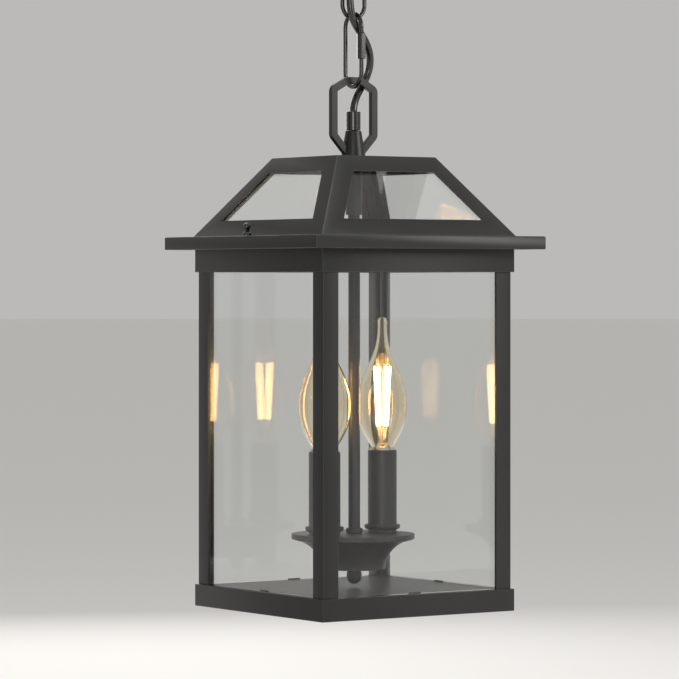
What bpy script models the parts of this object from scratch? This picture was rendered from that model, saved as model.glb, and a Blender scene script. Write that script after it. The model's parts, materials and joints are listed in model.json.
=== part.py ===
"""A square hanging lantern: glazed roof, glass cage, two candle lamps, hook-up hardware and cord.

Metres, +Z up. The origin is where the lantern's axis meets the ceiling, and everything hangs below it.
"""
import math

import bmesh
import bpy
from mathutils import Vector

# ---- driving sizes -------------------------------------------------------------------------------
EAVE_SIDE = 0.229
CAGE_SIDE = 0.192
CAGE_HEIGHT = 0.2800  # from the collar's lower edge to the lower edge of the base
ROOF_TOP_SIDE = 0.0986
ROOF_BASE_SIDE = 0.194
ROOF_HEIGHT = 0.0655
GAP = 0.0003  # between pieces that touch
CUT = 0.01  # how far a cutter runs past what it cuts
AXIS = 0.001  # radius at which a turned solid starts

# ceiling hardware
STRAP_LENGTH = 0.100
STRAP_WIDTH = 0.018
STRAP_THICK = 0.002
STRAP_SLOT_LENGTH = 0.020
STRAP_SLOT_WIDTH = 0.005
STRAP_SLOT_X = 0.034
COUPLING_FLATS = 0.017
COUPLING_HEIGHT = 0.016
COUPLING_LID = 0.003
COUPLING_WINDOW = 0.006  # across; the cord's conductors leave through it
COUPLING_WINDOW_LOW = 0.0075  # from the coupling's lower end
COUPLING_WINDOW_HIGH = 0.0125
CANOPY_RADIUS = 0.060
CANOPY_HEIGHT = 0.024
CANOPY_WALL = 0.0015
CANOPY_SHOULDER = 0.012

# threaded tube, shared by the ceiling and the head of the lantern
NIPPLE_RADIUS = 0.00485
NIPPLE_BORE = 0.0035
NIPPLE_GRIP = 0.0065  # thread held by the ceiling coupling
NIPPLE_END_GAP = 0.0005  # from a nipple's end to the bottom of the hub's socket
NIPPLE_DROP = 0.016  # reach of the head nipple below the top of the roof
THREAD_CLEARANCE = 0.00025

# octagonal loops
LOOP_WIDTH = 0.0464
LOOP_HEIGHT = 0.067
LOOP_BAR = 0.006
LOOP_THICK = 0.0048
LOOP_EDGE = 0.0006
LOOP_FLAT = 0.0151  # width of the flat at the far end
LOOP_SHOULDER = 0.0087  # drop from that flat to the straight sides
LOOP_FOOT = 0.017  # height of the lower corners
LOOP_FOOT_TURN = 43  # degrees that the bar turns there
LOOP_ROOT = 0.005  # height at which the bar runs into the hub
LOOP_BEND = 0.004  # radius of its bends
HUB_RADIUS = 0.0102
HUB_TIP_RADIUS = 0.0066
HUB_HEIGHT = 0.0222
HUB_EDGE = 0.0006
HUB_SOCKET = 0.014
GLAND_RADIUS = 0.006
GLAND_HEIGHT = 0.0158
GLAND_BORE = 0.0035
GLAND_LIP = 0.0005

# chain
WIRE = 0.0036
LINK_LENGTH = 0.038
LINK_WIDTH = 0.026
QUICK_LENGTH = 0.0649
QUICK_WIDTH = 0.0273
QUICK_NUT_FLATS = 0.007
QUICK_NUT_LENGTH = 0.021
QUICK_NUT_RISE = 0.0248  # from the bottom of the quick link to the bottom of its nut
QUICK_NUT_GRIP = 0.002  # thread above the gate that the nut still holds
QUICK_GATE = 0.008
HANG_GAP = 0.0005  # between one link and the next

# roof and eave
SHEET = 0.0015
ROOF_RAIL_TOP = 0.0130  # these three are measured straight down or straight across
ROOF_RAIL_BOTTOM = 0.0131
ROOF_RAIL_HIP = 0.0183
ROOF_PANE_THICK = 0.002
ROOF_PANE_LAP = 0.005
INNER_CORNER = 0.0005  # radius of the inner upright corners of pressed sheet
EAVE_THICK = 0.0107
EAVE_OPENING = 0.164
EAVE_EDGE = 0.0007
CORNER = 0.0012  # radius of the upright outer corners

# cage
CAGE_WALL = 0.0019
COLLAR_HEIGHT = 0.0188  # what shows below the eave
BASE_HEIGHT = 0.0182
FLANGE_THICK = 0.002
FLANGE_CLEARANCE = 0.0006
BASE_LEDGE = 0.010
BASE_LEDGE_DROP = 0.0021
POST_LEG = 0.015
POST_THICK = 0.003
PANE_THICK = 0.003
PANE_TOP_GAP = 0.0035  # from the collar's flange down to the top of a pane
FLOOR_THICK = 0.0015
STOP_HEIGHT = 0.0015
CLIP_WIDTH = 0.012
CLIP_THICK = 0.0008
CLIP_REACH = 0.008
CLIP_FOOT = 0.003  # from the collar's lower edge up to the clip

# thumb screws and their welded nuts
SCREW_RADIUS = 0.0019
SCREW_FLANGE_RADIUS = 0.0037
SCREW_FLANGE_HEIGHT = 0.0024
SCREW_BALL_RADIUS = 0.0031
SCREW_HEIGHT = 0.0108
SCREW_CLEARANCE = 0.0004
SCREW_POINT = 0.0005  # bevel at the tip of the thread
WELD_NUT_FLATS = 0.007
WELD_NUT_HEIGHT = 0.0032

# stem and lamp cluster
COUPLER_RADIUS = 0.0068
COUPLER_LENGTH = 0.041
LOCK_NUT_FLATS = 0.014
LOCK_NUT_HEIGHT = 0.005
STEM_RADIUS = 0.0049
STEM_BORE = 0.0036
STEM_ENTRY = 0.0045  # from the head nipple's lower end down to the stem
STEM_BELOW_DISH = 0.0055
STEM_EXIT_HIGH = 0.010  # the opening for the conductors, below the rim of the dish
STEM_EXIT_LOW = 0.018
STEM_EXIT_WIDTH = 0.004
STEM_CORD_TAIL = 0.009  # the cord's jacket ends here, below the rim of the dish
STEM_NUT_RADIUS = 0.007
STEM_NUT_HEIGHT = 0.0044
STEM_NUT_BAND = 0.0028
DISH_RISE = 0.0444  # from the floor plate up to the rim of the dish
DISH_RADIUS = 0.0503
DISH_FOOT_RADIUS = 0.0261
DISH_DEPTH = 0.0294
DISH_RIM = 0.0043
DISH_WALL = 0.0012
DISH_STEP = 0.0012  # under the rim
DISH_WAIST = 0.004  # how far the curve starts inside the rim
DISH_CURVE = 1.55  # power of the curve's fall from the rim to the foot
FINIAL_RADIUS = 0.0064
FINIAL_HEIGHT = 0.0123
FINIAL_SOCKET = 0.0058
CANDLE_SPACING = 0.0572
CUP_RADIUS = 0.0149
CUP_HEIGHT = 0.0065
SLEEVE_RADIUS = 0.0121
SLEEVE_WALL = 0.0011
SLEEVE_LENGTH = 0.0644
SLEEVE_SEAT = 0.004  # from the dish up to the foot of a sleeve
SOCKET_AIR = 0.002  # between a socket and its sleeve
SOCKET_HEIGHT = 0.030
SOCKET_DROP = 0.007  # from the top of a sleeve down to its socket
SOCKET_NECK = 0.012
SOCKET_BORE_DEPTH = 0.018
SOCKET_TUBE_RADIUS = 0.0049
SOCKET_TUBE_TAIL = 0.006  # reach of a socket's tube below the dish cover
BULB_THREAD_RADIUS = 0.0058
BULB_THREAD_CLEARANCE = 0.0004
BULB_THREAD_LENGTH = 0.0165
BULB_SKIRT_RADIUS = 0.0085
BULB_RING_RADIUS = 0.0108
BULB_RING_HEIGHT = 0.0021
BULB_RADIUS = 0.0212
BULB_LENGTH = 0.1093
BULB_WALL = 0.0009
BULB_NECK_RADIUS = 0.0095
BULB_STEM_HEIGHT = 0.030
BULB_STEM_RADIUS = 0.0022
BULB_STEM_FLARE = 0.0072

# cord
CORD_RADIUS = 0.0031
# Places that the cord passes, as (x, y, height above the top of the roof). It leaves the lantern's
# gland, goes behind the loop's top bar, bulges, slips inside the quick link, crosses in front of the
# chain link and its neighbour, and enters the gland under the ceiling canopy.
CORD_ROUTE = [
    (0.0, 0.0, 0.0393),
    (0.0009, 0.0005, 0.0435),
    (0.0029, 0.0016, 0.0478),
    (0.0058, 0.0031, 0.0520),
    (0.0094, 0.0046, 0.0562),
    (0.0128, 0.0057, 0.0605),
    (0.0159, 0.0061, 0.0650),
    (0.0182, 0.0057, 0.0700),
    (0.0193, 0.0046, 0.0752),
    (0.0190, 0.0029, 0.0805),
    (0.0174, 0.0009, 0.0858),
    (0.0146, -0.0011, 0.0910),
    (0.0109, -0.0028, 0.0962),
    (0.0064, -0.0041, 0.1015),
    (0.0020, -0.0049, 0.1065),
    (-0.0017, -0.0054, 0.1110),
    (-0.0045, -0.0056, 0.1160),
    (-0.0064, -0.0058, 0.1222),
    (-0.0074, -0.0059, 0.1295),
    (-0.0077, -0.0059, 0.1370),
    (-0.0070, -0.0056, 0.1450),
    (-0.0050, -0.0044, 0.1530),
    (-0.0018, -0.0017, 0.1625),
]
CORD_STEP = 0.0072  # distance between the points of the tube
CORD_GAP = 0.0009  # between one stretch of cord and the next
CORD_SPLITS = (0.0850, 0.1285)  # heights above the roof where one stretch ends and the next starts

# ---- places that follow from the sizes ---------------------------------------------------------------
LINK_REST = WIRE / 2 + HANG_GAP  # from a wire's centre to the bar that hangs on it or that it hangs on
canopy_bottom = -CANOPY_HEIGHT - GAP
upper_loop_base = canopy_bottom - GAP
upper_pivot = upper_loop_base - LOOP_HEIGHT + LOOP_BAR / 2
link_top = upper_pivot + LOOP_BAR / 2 + HANG_GAP + WIRE
link_bottom = link_top - LINK_LENGTH
link_pivot = link_bottom + WIRE / 2
quick_top = link_pivot + LINK_REST + WIRE
quick_bottom = quick_top - QUICK_LENGTH
quick_pivot = quick_bottom + WIRE / 2
head_loop_base = quick_pivot + LINK_REST + LOOP_BAR - LOOP_HEIGHT
roof_top = head_loop_base - GAP
roof_bottom = roof_top - ROOF_HEIGHT
eave_top = roof_bottom - GAP
eave_bottom = eave_top - EAVE_THICK
collar_bottom = eave_bottom - COLLAR_HEIGHT
base_bottom = collar_bottom - CAGE_HEIGHT
base_top = base_bottom + BASE_HEIGHT
flange_bottom = eave_bottom + GAP
flange_top = flange_bottom + FLANGE_THICK
ledge_top = base_top - BASE_LEDGE_DROP
floor_bottom = ledge_top + GAP
floor_top = floor_bottom + FLOOR_THICK
post_outer = CAGE_SIDE / 2 - CAGE_WALL - GAP
pane_outer = post_outer - POST_THICK - GAP
pane_top = flange_bottom - PANE_TOP_GAP
screw_x = (EAVE_SIDE + ROOF_BASE_SIDE) / 4
dish_top = floor_top + DISH_RISE
cover_top = dish_top
sleeve_bottom = cover_top + GAP + SLEEVE_SEAT
sleeve_top = sleeve_bottom + SLEEVE_LENGTH
bulb_bottom = sleeve_top + GAP  # underside of the ring that shows above the sleeve
thread_hole = NIPPLE_RADIUS + THREAD_CLEARANCE
stem_hole = STEM_RADIUS + THREAD_CLEARANCE
screw_hole = SCREW_RADIUS + SCREW_CLEARANCE
socket_radius = SLEEVE_RADIUS - SLEEVE_WALL - SOCKET_AIR
bulb_hole = BULB_THREAD_RADIUS + BULB_THREAD_CLEARANCE
head_nipple_bottom = roof_top - NIPPLE_DROP
stem_top = head_nipple_bottom - STEM_ENTRY
coupler_top = roof_top - SHEET - LOCK_NUT_HEIGHT - 2 * GAP


# ---- tools -------------------------------------------------------------------------------------------
def clear_scene():
    for item in list(bpy.data.objects):
        bpy.data.objects.remove(item, do_unlink=True)


def material(name, colour, roughness, metallic=0.0, transmission=0.0):
    made = bpy.data.materials.new(name)
    made.use_nodes = True
    shader = made.node_tree.nodes["Principled BSDF"]
    shader.inputs["Base Color"].default_value = (*colour, 1.0)
    shader.inputs["Roughness"].default_value = roughness
    shader.inputs["Metallic"].default_value = metallic
    shader.inputs["Transmission Weight"].default_value = transmission
    return made


def satin_black():
    return material("satin_black_powder_coat", (0.03, 0.03, 0.032), 0.45, 0.3)


def gloss_black():
    return material("gloss_black_enamel", (0.015, 0.015, 0.016), 0.2, 0.4)


def bare_steel():
    return material("zinc_plated_steel", (0.5, 0.5, 0.48), 0.35, 1.0)


def clear_glass():
    return material("clear_glass", (0.95, 0.97, 0.97), 0.02, 0.0, 1.0)


def finished(name, shape, finish, place=(0, 0, 0), smooth=False):
    """Turns a bmesh into a named object with its own material, at its place."""
    bmesh.ops.remove_doubles(shape, verts=shape.verts, dist=1e-6)
    bmesh.ops.recalc_face_normals(shape, faces=shape.faces)
    mesh = bpy.data.meshes.new(name)
    shape.to_mesh(mesh)
    shape.free()
    if smooth:
        mesh.shade_smooth()
        mesh.set_sharp_from_angle(angle=math.radians(32))
    made = bpy.data.objects.new(name, mesh)
    mesh.materials.append(finish)
    made.location = place
    bpy.context.scene.collection.objects.link(made)
    return made


def boolean(body, cutter, operation="DIFFERENCE"):
    """Cuts, or joins, one object with another, and removes the other."""
    step = body.modifiers.new(operation.lower(), "BOOLEAN")
    step.operation = operation
    step.solver = "EXACT"
    step.object = cutter
    with bpy.context.temp_override(object=body, active_object=body):
        bpy.ops.object.modifier_apply(modifier=step.name)
    bpy.data.objects.remove(cutter, do_unlink=True)


def bridged(loops, closed_profile=True, capped=False):
    """Skins a row of vertex rings, each a list of points in the same order."""
    shape = bmesh.new()
    rings = [[shape.verts.new(p) for p in loop] for loop in loops]
    pairs = list(zip(rings, rings[1:]))
    if closed_profile:
        pairs.append((rings[-1], rings[0]))
    for low, high in pairs:
        for i, corner in enumerate(low):
            j = (i + 1) % len(low)
            shape.faces.new((corner, low[j], high[j], high[i]))
    if capped:
        shape.faces.new(rings[0][::-1])
        shape.faces.new(rings[-1])
    return shape


def circle(radius, z, sides, phase=0.0):
    turns = [phase + 2 * math.pi * i / sides for i in range(sides)]
    return [(radius * math.cos(a), radius * math.sin(a), z) for a in turns]


def turned(profile, sides=24, phase=0.0, closed=True):
    """Turns (radius, height) points about Z. An open profile starts and ends on flat discs."""
    loops = [circle(r, z, sides, phase) for r, z in profile]
    return bridged(loops, closed, not closed)


def hexagonal(flats, bore, bottom, top, bore_sides=12):
    """A hexagonal nut or sleeve with a round hole."""
    corner = flats / 2 / math.cos(math.pi / 6)
    outer = finished("hexagon", turned([(corner, bottom), (corner, top)], 6, 0.0, False), None)
    hole = turned([(bore, bottom - CUT), (bore, top + CUT)], bore_sides, 0.0, False)
    boolean(outer, finished("hole", hole, None))
    return outer


def through_hole(radius, sides, place):
    """A cutter for a round hole in a thin sheet."""
    return finished("hole", turned([(radius, -CUT), (radius, CUT)], sides, 0.0, False), None, place)


def square_loop(half, z, corner, steps=2):
    """A square ring of points with rounded corners."""
    points = []
    middle = half - corner
    for quarter in range(4):
        start = quarter * math.pi / 2
        cx, cy = (middle if quarter in (0, 3) else -middle), (middle if quarter < 2 else -middle)
        for i in range(steps + 1):
            a = start + i * math.pi / 2 / steps
            points.append((cx + corner * math.cos(a), cy + corner * math.sin(a), z))
    return points


def square_turned(profile, corners):
    """Carries (half side, height) points round a square, each with its corner radius."""
    return bridged([square_loop(h, z, c) for (h, z), c in zip(profile, corners)])


def extruded(outline, low, high, axis="Z"):
    """Extrudes a flat outline along an axis. The outline's two numbers are the other two axes."""
    order = {"Z": lambda a, b, c: (a, b, c), "Y": lambda a, b, c: (a, c, b), "X": lambda a, b, c: (c, a, b)}
    place = order[axis]
    loops = [[place(a, b, c) for a, b in outline] for c in (low, high)]
    return bridged(loops, False, True)


def block(low, high):
    outline = [(low[0], low[1]), (high[0], low[1]), (high[0], high[1]), (low[0], high[1])]
    return extruded(outline, low[2], high[2])


def filleted(corners, radius, steps, closed):
    """Rounds the corners of a flat path."""
    path = []
    count = len(corners)
    for i, point in enumerate(corners):
        here = Vector(point)
        if not closed and i in (0, count - 1):
            path.append(here)
            continue
        before, after = Vector(corners[i - 1]) - here, Vector(corners[(i + 1) % count]) - here
        before.normalize()
        after.normalize()
        half_angle = before.angle(after) / 2
        centre = here + (before + after).normalized() * radius / math.sin(half_angle)
        first = here + before * radius / math.tan(half_angle)
        last = here + after * radius / math.tan(half_angle)
        for k in range(steps + 1):
            arm = (first - centre).lerp(last - centre, k / steps).normalized() * radius
            path.append(centre + arm)
    return path


def swept(path, section, closed, plane="XZ"):
    """Sweeps a section along a flat path in XZ or YZ. Section points are (outward, sideways)."""
    loops = []
    count = len(path)
    for i, here in enumerate(path):
        first, last = not closed and i == 0, not closed and i == count - 1
        back = (here - path[i - 1]).normalized() if not first else (path[1] - here).normalized()
        ahead = (path[(i + 1) % count] - here).normalized() if not last else back
        along = (back + ahead).normalized()
        outward = Vector((along.y, -along.x))
        stretch = 1 / max(0.5, along.dot(ahead))
        ring = []
        for out, side in section:
            flat = here + outward * out * stretch
            ring.append((flat.x, side, flat.y) if plane == "XZ" else (side, flat.x, flat.y))
        loops.append(ring)
    return bridged(loops, closed, not closed)


def round_section(radius, sides=8):
    turns = [2 * math.pi * (i + 0.5) / sides for i in range(sides)]
    return [(radius * math.cos(a), radius * math.sin(a)) for a in turns]


def flat_section(width, thick, edge):
    """A flat bar's section with its corners taken off."""
    w, t = width / 2, thick / 2
    corner = [(w, t - edge), (w - edge, t)]
    return corner + [(-a, b) for a, b in corner[::-1]] + [(-a, -b) for a, b in corner] + [
        (a, -b) for a, b in corner[::-1]
    ]


# ---- octagonal loops with a hub ------------------------------------------------------------------------
def octagon_loop(name, base, up, plane):
    """A flat-bar octagon that springs from a conical hub. up is 1 on the lantern, -1 at the ceiling."""
    inset = LOOP_BAR / 2
    side = LOOP_WIDTH / 2 - inset
    shoulder_turn = math.atan2(LOOP_WIDTH / 2 - LOOP_FLAT / 2, LOOP_SHOULDER)
    flat = LOOP_FLAT / 2 - inset * math.tan((math.pi / 2 - shoulder_turn) / 2)
    shoulder = LOOP_HEIGHT - LOOP_SHOULDER - inset * math.tan(shoulder_turn / 2)
    foot_turn = math.radians(LOOP_FOOT_TURN)
    foot = LOOP_FOOT + inset * math.tan(foot_turn / 2)
    reach = foot - LOOP_ROOT
    end = side - reach * math.tan(foot_turn)
    right = [(end, LOOP_ROOT), (side, foot), (side, shoulder), (flat, LOOP_HEIGHT - inset)]
    corners = right + [(-x, z) for x, z in right[::-1]]
    path = filleted(corners, LOOP_BEND, 2, False)
    path = [Vector((p.x, base + up * p.y)) for p in path]
    bar = swept(path, flat_section(LOOP_BAR, LOOP_THICK, LOOP_EDGE), False, plane)
    loop = finished(name, bar, gloss_black(), smooth=True)
    hub = [
        (HUB_RADIUS - HUB_EDGE, base),
        (HUB_RADIUS, base + up * HUB_EDGE),
        (HUB_TIP_RADIUS, base + up * (HUB_HEIGHT - HUB_EDGE)),
        (HUB_TIP_RADIUS - HUB_EDGE, base + up * HUB_HEIGHT),
    ]
    boolean(loop, finished("hub", turned(hub, 24, 0.0, False), None), "UNION")
    socket_end = base + up * HUB_SOCKET
    socket = turned([(thread_hole, base - up * CUT), (thread_hole, socket_end)], 16, 0.0, False)
    boolean(loop, finished("socket", socket, None))
    bore_ends = [(GLAND_BORE, socket_end - up * SHEET), (GLAND_BORE, base + up * (HUB_HEIGHT + CUT))]
    bore = turned(bore_ends, 12, 0.0, False)
    boolean(loop, finished("bore", bore, None))
    return loop


def gland(name, base, up):
    """The sleeve that the cord comes out of, on the tip of a hub."""
    low = base + up * (HUB_HEIGHT + GAP)
    high = low + up * GLAND_HEIGHT
    profile = [
        (GLAND_RADIUS, low),
        (GLAND_RADIUS, high - up * GLAND_LIP),
        (GLAND_RADIUS - GLAND_LIP, high),
        (GLAND_BORE, high),
        (GLAND_BORE, low),
    ]
    finished(name, turned(profile, 20), gloss_black(), smooth=True)


# ---- ceiling hardware ----------------------------------------------------------------------------------
def ceiling_parts():
    half, wide = STRAP_LENGTH / 2, STRAP_WIDTH / 2
    strap = finished("ceiling_strap", block((-half, -wide, -STRAP_THICK), (half, wide, 0)), bare_steel())
    slot = STRAP_SLOT_LENGTH / 2
    for x in (-STRAP_SLOT_X, STRAP_SLOT_X):
        cut = block((x - slot, -STRAP_SLOT_WIDTH / 2, -CUT), (x + slot, STRAP_SLOT_WIDTH / 2, CUT))
        boolean(strap, finished("slot", cut, None))

    coupling_top = -STRAP_THICK - GAP
    coupling_bottom = coupling_top - COUPLING_HEIGHT
    coupling_roof = coupling_top - COUPLING_LID
    coupling = hexagonal(COUPLING_FLATS, thread_hole, coupling_bottom, coupling_roof, 16)
    corner = COUPLING_FLATS / 2 / math.cos(math.pi / 6)
    lid = turned([(corner, coupling_roof - GAP), (corner, coupling_top)], 6, 0.0, False)
    boolean(coupling, finished("lid", lid, None), "UNION")
    window_low, window_high = coupling_bottom + COUPLING_WINDOW_LOW, coupling_bottom + COUPLING_WINDOW_HIGH
    window = block((0, -COUPLING_WINDOW / 2, window_low), (COUPLING_FLATS, COUPLING_WINDOW / 2, window_high))
    boolean(coupling, finished("window", window, None))
    coupling.name = "strap_coupling"
    coupling.data.materials.clear()
    coupling.data.materials.append(bare_steel())

    nipple_top = coupling_bottom + NIPPLE_GRIP
    nipple_bottom = upper_loop_base - HUB_SOCKET + NIPPLE_END_GAP
    nipple = [
        (NIPPLE_RADIUS, nipple_bottom),
        (NIPPLE_RADIUS, nipple_top),
        (NIPPLE_BORE, nipple_top),
        (NIPPLE_BORE, nipple_bottom),
    ]
    finished("ceiling_nipple", turned(nipple, 16), bare_steel(), smooth=True)

    r, wall, low, shoulder = CANOPY_RADIUS, CANOPY_WALL, canopy_bottom, CANOPY_SHOULDER
    outer = [(r, -GAP), (r, low + shoulder)]
    turns = [math.radians(a) for a in (30, 60, 90)]
    outer += [(r - shoulder * (1 - math.cos(a)), low + shoulder * (1 - math.sin(a))) for a in turns]
    inner = [(r - wall, -GAP), (r - wall, low + shoulder)]
    inner += [
        (r - wall - (shoulder - wall) * (1 - math.cos(a)), low + wall + (shoulder - wall) * (1 - math.sin(a)))
        for a in turns
    ]
    profile = outer + [(thread_hole, low), (thread_hole, low + wall)] + inner[::-1]
    finished("canopy", turned(profile, 32), satin_black(), smooth=True)
    octagon_loop("canopy_loop", upper_loop_base, -1, "YZ")
    gland("canopy_gland", upper_loop_base, -1)


# ---- chain ---------------------------------------------------------------------------------------------
def stadium(width, length, centre_z, steps=4):
    """The centreline of an oval link, clockwise from the middle of its right side."""
    radius = (width - WIRE) / 2
    straight = length / 2 - WIRE / 2 - radius
    points = [(radius, 0.0)]
    for sign, start in ((1, 0.0), (-1, math.pi)):
        for i in range(2 * steps + 1):
            a = start + math.pi * i / (2 * steps)
            points.append((radius * math.cos(a), sign * straight + radius * math.sin(a)))
        if sign == 1:
            points.append((-radius, 0.0))
    return [Vector((x, centre_z + z)) for x, z in points]


def chain():
    middle = (link_top + link_bottom) / 2
    path = stadium(LINK_WIDTH, LINK_LENGTH, middle)
    ring = swept(path, round_section(WIRE / 2), True, "XZ")
    finished("chain_link", ring, gloss_black(), smooth=True)

    middle = (quick_top + quick_bottom) / 2
    radius = (QUICK_WIDTH - WIRE) / 2
    nut_bottom = quick_bottom + QUICK_NUT_RISE
    gate_top = nut_bottom + QUICK_NUT_LENGTH - QUICK_NUT_GRIP
    gate_bottom = gate_top - QUICK_GATE
    full = stadium(QUICK_WIDTH, QUICK_LENGTH, middle)[1:]
    left_first = [Vector((-p.x, p.y)) for p in full]
    path = [p for p in left_first if p.x > -radius + 1e-6 or abs(p.y - middle) > 1e-6]
    top_arc = [p for p in path if p.y > middle]
    bottom_arc = [p for p in path if p.y < middle]
    body = [Vector((-radius, gate_top))] + top_arc
    body += bottom_arc + [Vector((-radius, gate_bottom))]
    hook = swept(body, round_section(WIRE / 2), False, "YZ")
    finished("quick_link", hook, gloss_black(), smooth=True)

    nut_top, nut_bore = nut_bottom + QUICK_NUT_LENGTH, WIRE / 2 + THREAD_CLEARANCE
    nut = hexagonal(QUICK_NUT_FLATS, nut_bore, nut_bottom, nut_top, 8)
    nut.name = "quick_link_nut"
    nut.location = (0, -radius, 0)
    nut.data.materials.clear()
    nut.data.materials.append(gloss_black())


# ---- roof and eave -------------------------------------------------------------------------------------
def half_side(drop):
    """Half the roof's width at a distance below its top."""
    return (ROOF_TOP_SIDE + (ROOF_BASE_SIDE - ROOF_TOP_SIDE) * drop / ROOF_HEIGHT) / 2


def window_outline(grow=0.0):
    """A roof window seen from the front, as (across, height) from the top of the roof."""
    high, low = ROOF_RAIL_TOP - grow, ROOF_HEIGHT - ROOF_RAIL_BOTTOM + grow
    top = half_side(high) - ROOF_RAIL_HIP + grow
    bottom = half_side(low) - ROOF_RAIL_HIP + grow
    return [(-top, -high), (top, -high), (bottom, -low), (-bottom, -low)]


def roof():
    run = (ROOF_BASE_SIDE - ROOF_TOP_SIDE) / 2
    slope = math.hypot(run, ROOF_HEIGHT)
    across = SHEET * slope / ROOF_HEIGHT
    top, base = ROOF_TOP_SIDE / 2, ROOF_BASE_SIDE / 2
    inner_top = half_side(SHEET) - across
    start = NIPPLE_BORE
    profile = [
        (start, roof_top),
        (top, roof_top),
        (base, roof_bottom),
        (base - across, roof_bottom),
        (inner_top, roof_top - SHEET),
        (start, roof_top - SHEET),
    ]
    corners = [INNER_CORNER, CORNER, CORNER, INNER_CORNER, INNER_CORNER, INNER_CORNER]
    frame = finished("roof_frame", square_turned(profile, corners), satin_black())
    boolean(frame, through_hole(thread_hole, 16, (0, 0, roof_top)))
    outline = [(x, roof_top + z) for x, z in window_outline()]
    for axis in ("X", "Y"):
        boolean(frame, finished("window", extruded(outline, -ROOF_BASE_SIDE, ROOF_BASE_SIDE, axis), None))

    # a pane behind each window
    near = (SHEET + GAP) * slope / ROOF_HEIGHT
    far = near + ROOF_PANE_THICK * slope / ROOF_HEIGHT
    plan = window_outline(ROOF_PANE_LAP)
    for number, name in enumerate(("front", "right", "back", "left")):
        loops = []
        for depth in (near, far):
            loops.append([(x, -(half_side(-z) - depth), roof_top + z) for x, z in plan])
        pane = finished(f"roof_pane_{name}", bridged(loops, False, True), clear_glass())
        pane.rotation_euler = (0, 0, number * math.pi / 2)

    # the eave: a shallow tray, open below, that hides the cage's flange
    half, inner, edge = EAVE_SIDE / 2, EAVE_SIDE / 2 - SHEET, EAVE_EDGE
    profile = [
        (half - edge, eave_top),
        (half, eave_top - edge),
        (half, eave_bottom + edge / 2),
        (half - edge / 2, eave_bottom),
        (inner, eave_bottom),
        (inner, eave_top - SHEET),
        (EAVE_OPENING / 2, eave_top - SHEET),
        (EAVE_OPENING / 2, eave_top),
    ]
    corners = [CORNER] * 4 + [INNER_CORNER] * 4
    tray = finished("eave_tray", square_turned(profile, corners), satin_black())
    for x in (-screw_x, screw_x):
        boolean(tray, through_hole(screw_hole, 12, (x, 0, eave_top)))


def thumb_screws():
    """Ball-headed screws that hold the cage up under the eave, and the welded nuts they turn in."""
    ball = SCREW_HEIGHT - SCREW_BALL_RADIUS
    low, top = GAP, SCREW_HEIGHT
    head = [(SCREW_RADIUS, low), (SCREW_FLANGE_RADIUS, low), (SCREW_FLANGE_RADIUS, low + 0.0016)]
    head.append((SCREW_FLANGE_RADIUS - 0.0008, SCREW_FLANGE_HEIGHT))
    head.append((SCREW_RADIUS, SCREW_FLANGE_HEIGHT + 0.0009))
    for degrees in (-38, -12, 14, 40, 66):
        a = math.radians(degrees)
        head.append((SCREW_BALL_RADIUS * math.cos(a), ball + SCREW_BALL_RADIUS * math.sin(a)))
    head.append((0.0005, top))
    shank = flange_bottom - eave_top
    profile = [(SCREW_RADIUS - SCREW_POINT, shank), (SCREW_RADIUS, shank + SCREW_POINT)] + head
    nut_bottom = flange_top + GAP
    for name, x in (("left", -screw_x), ("right", screw_x)):
        screw = turned(profile, 14, 0.0, False)
        finished(f"thumb_screw_{name}", screw, gloss_black(), (x, 0, eave_top), smooth=True)
        nut = hexagonal(WELD_NUT_FLATS, screw_hole, nut_bottom, nut_bottom + WELD_NUT_HEIGHT, 12)
        nut.name = f"weld_nut_{name}"
        nut.location = (x, 0, 0)
        nut.data.materials.clear()
        nut.data.materials.append(bare_steel())


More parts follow.
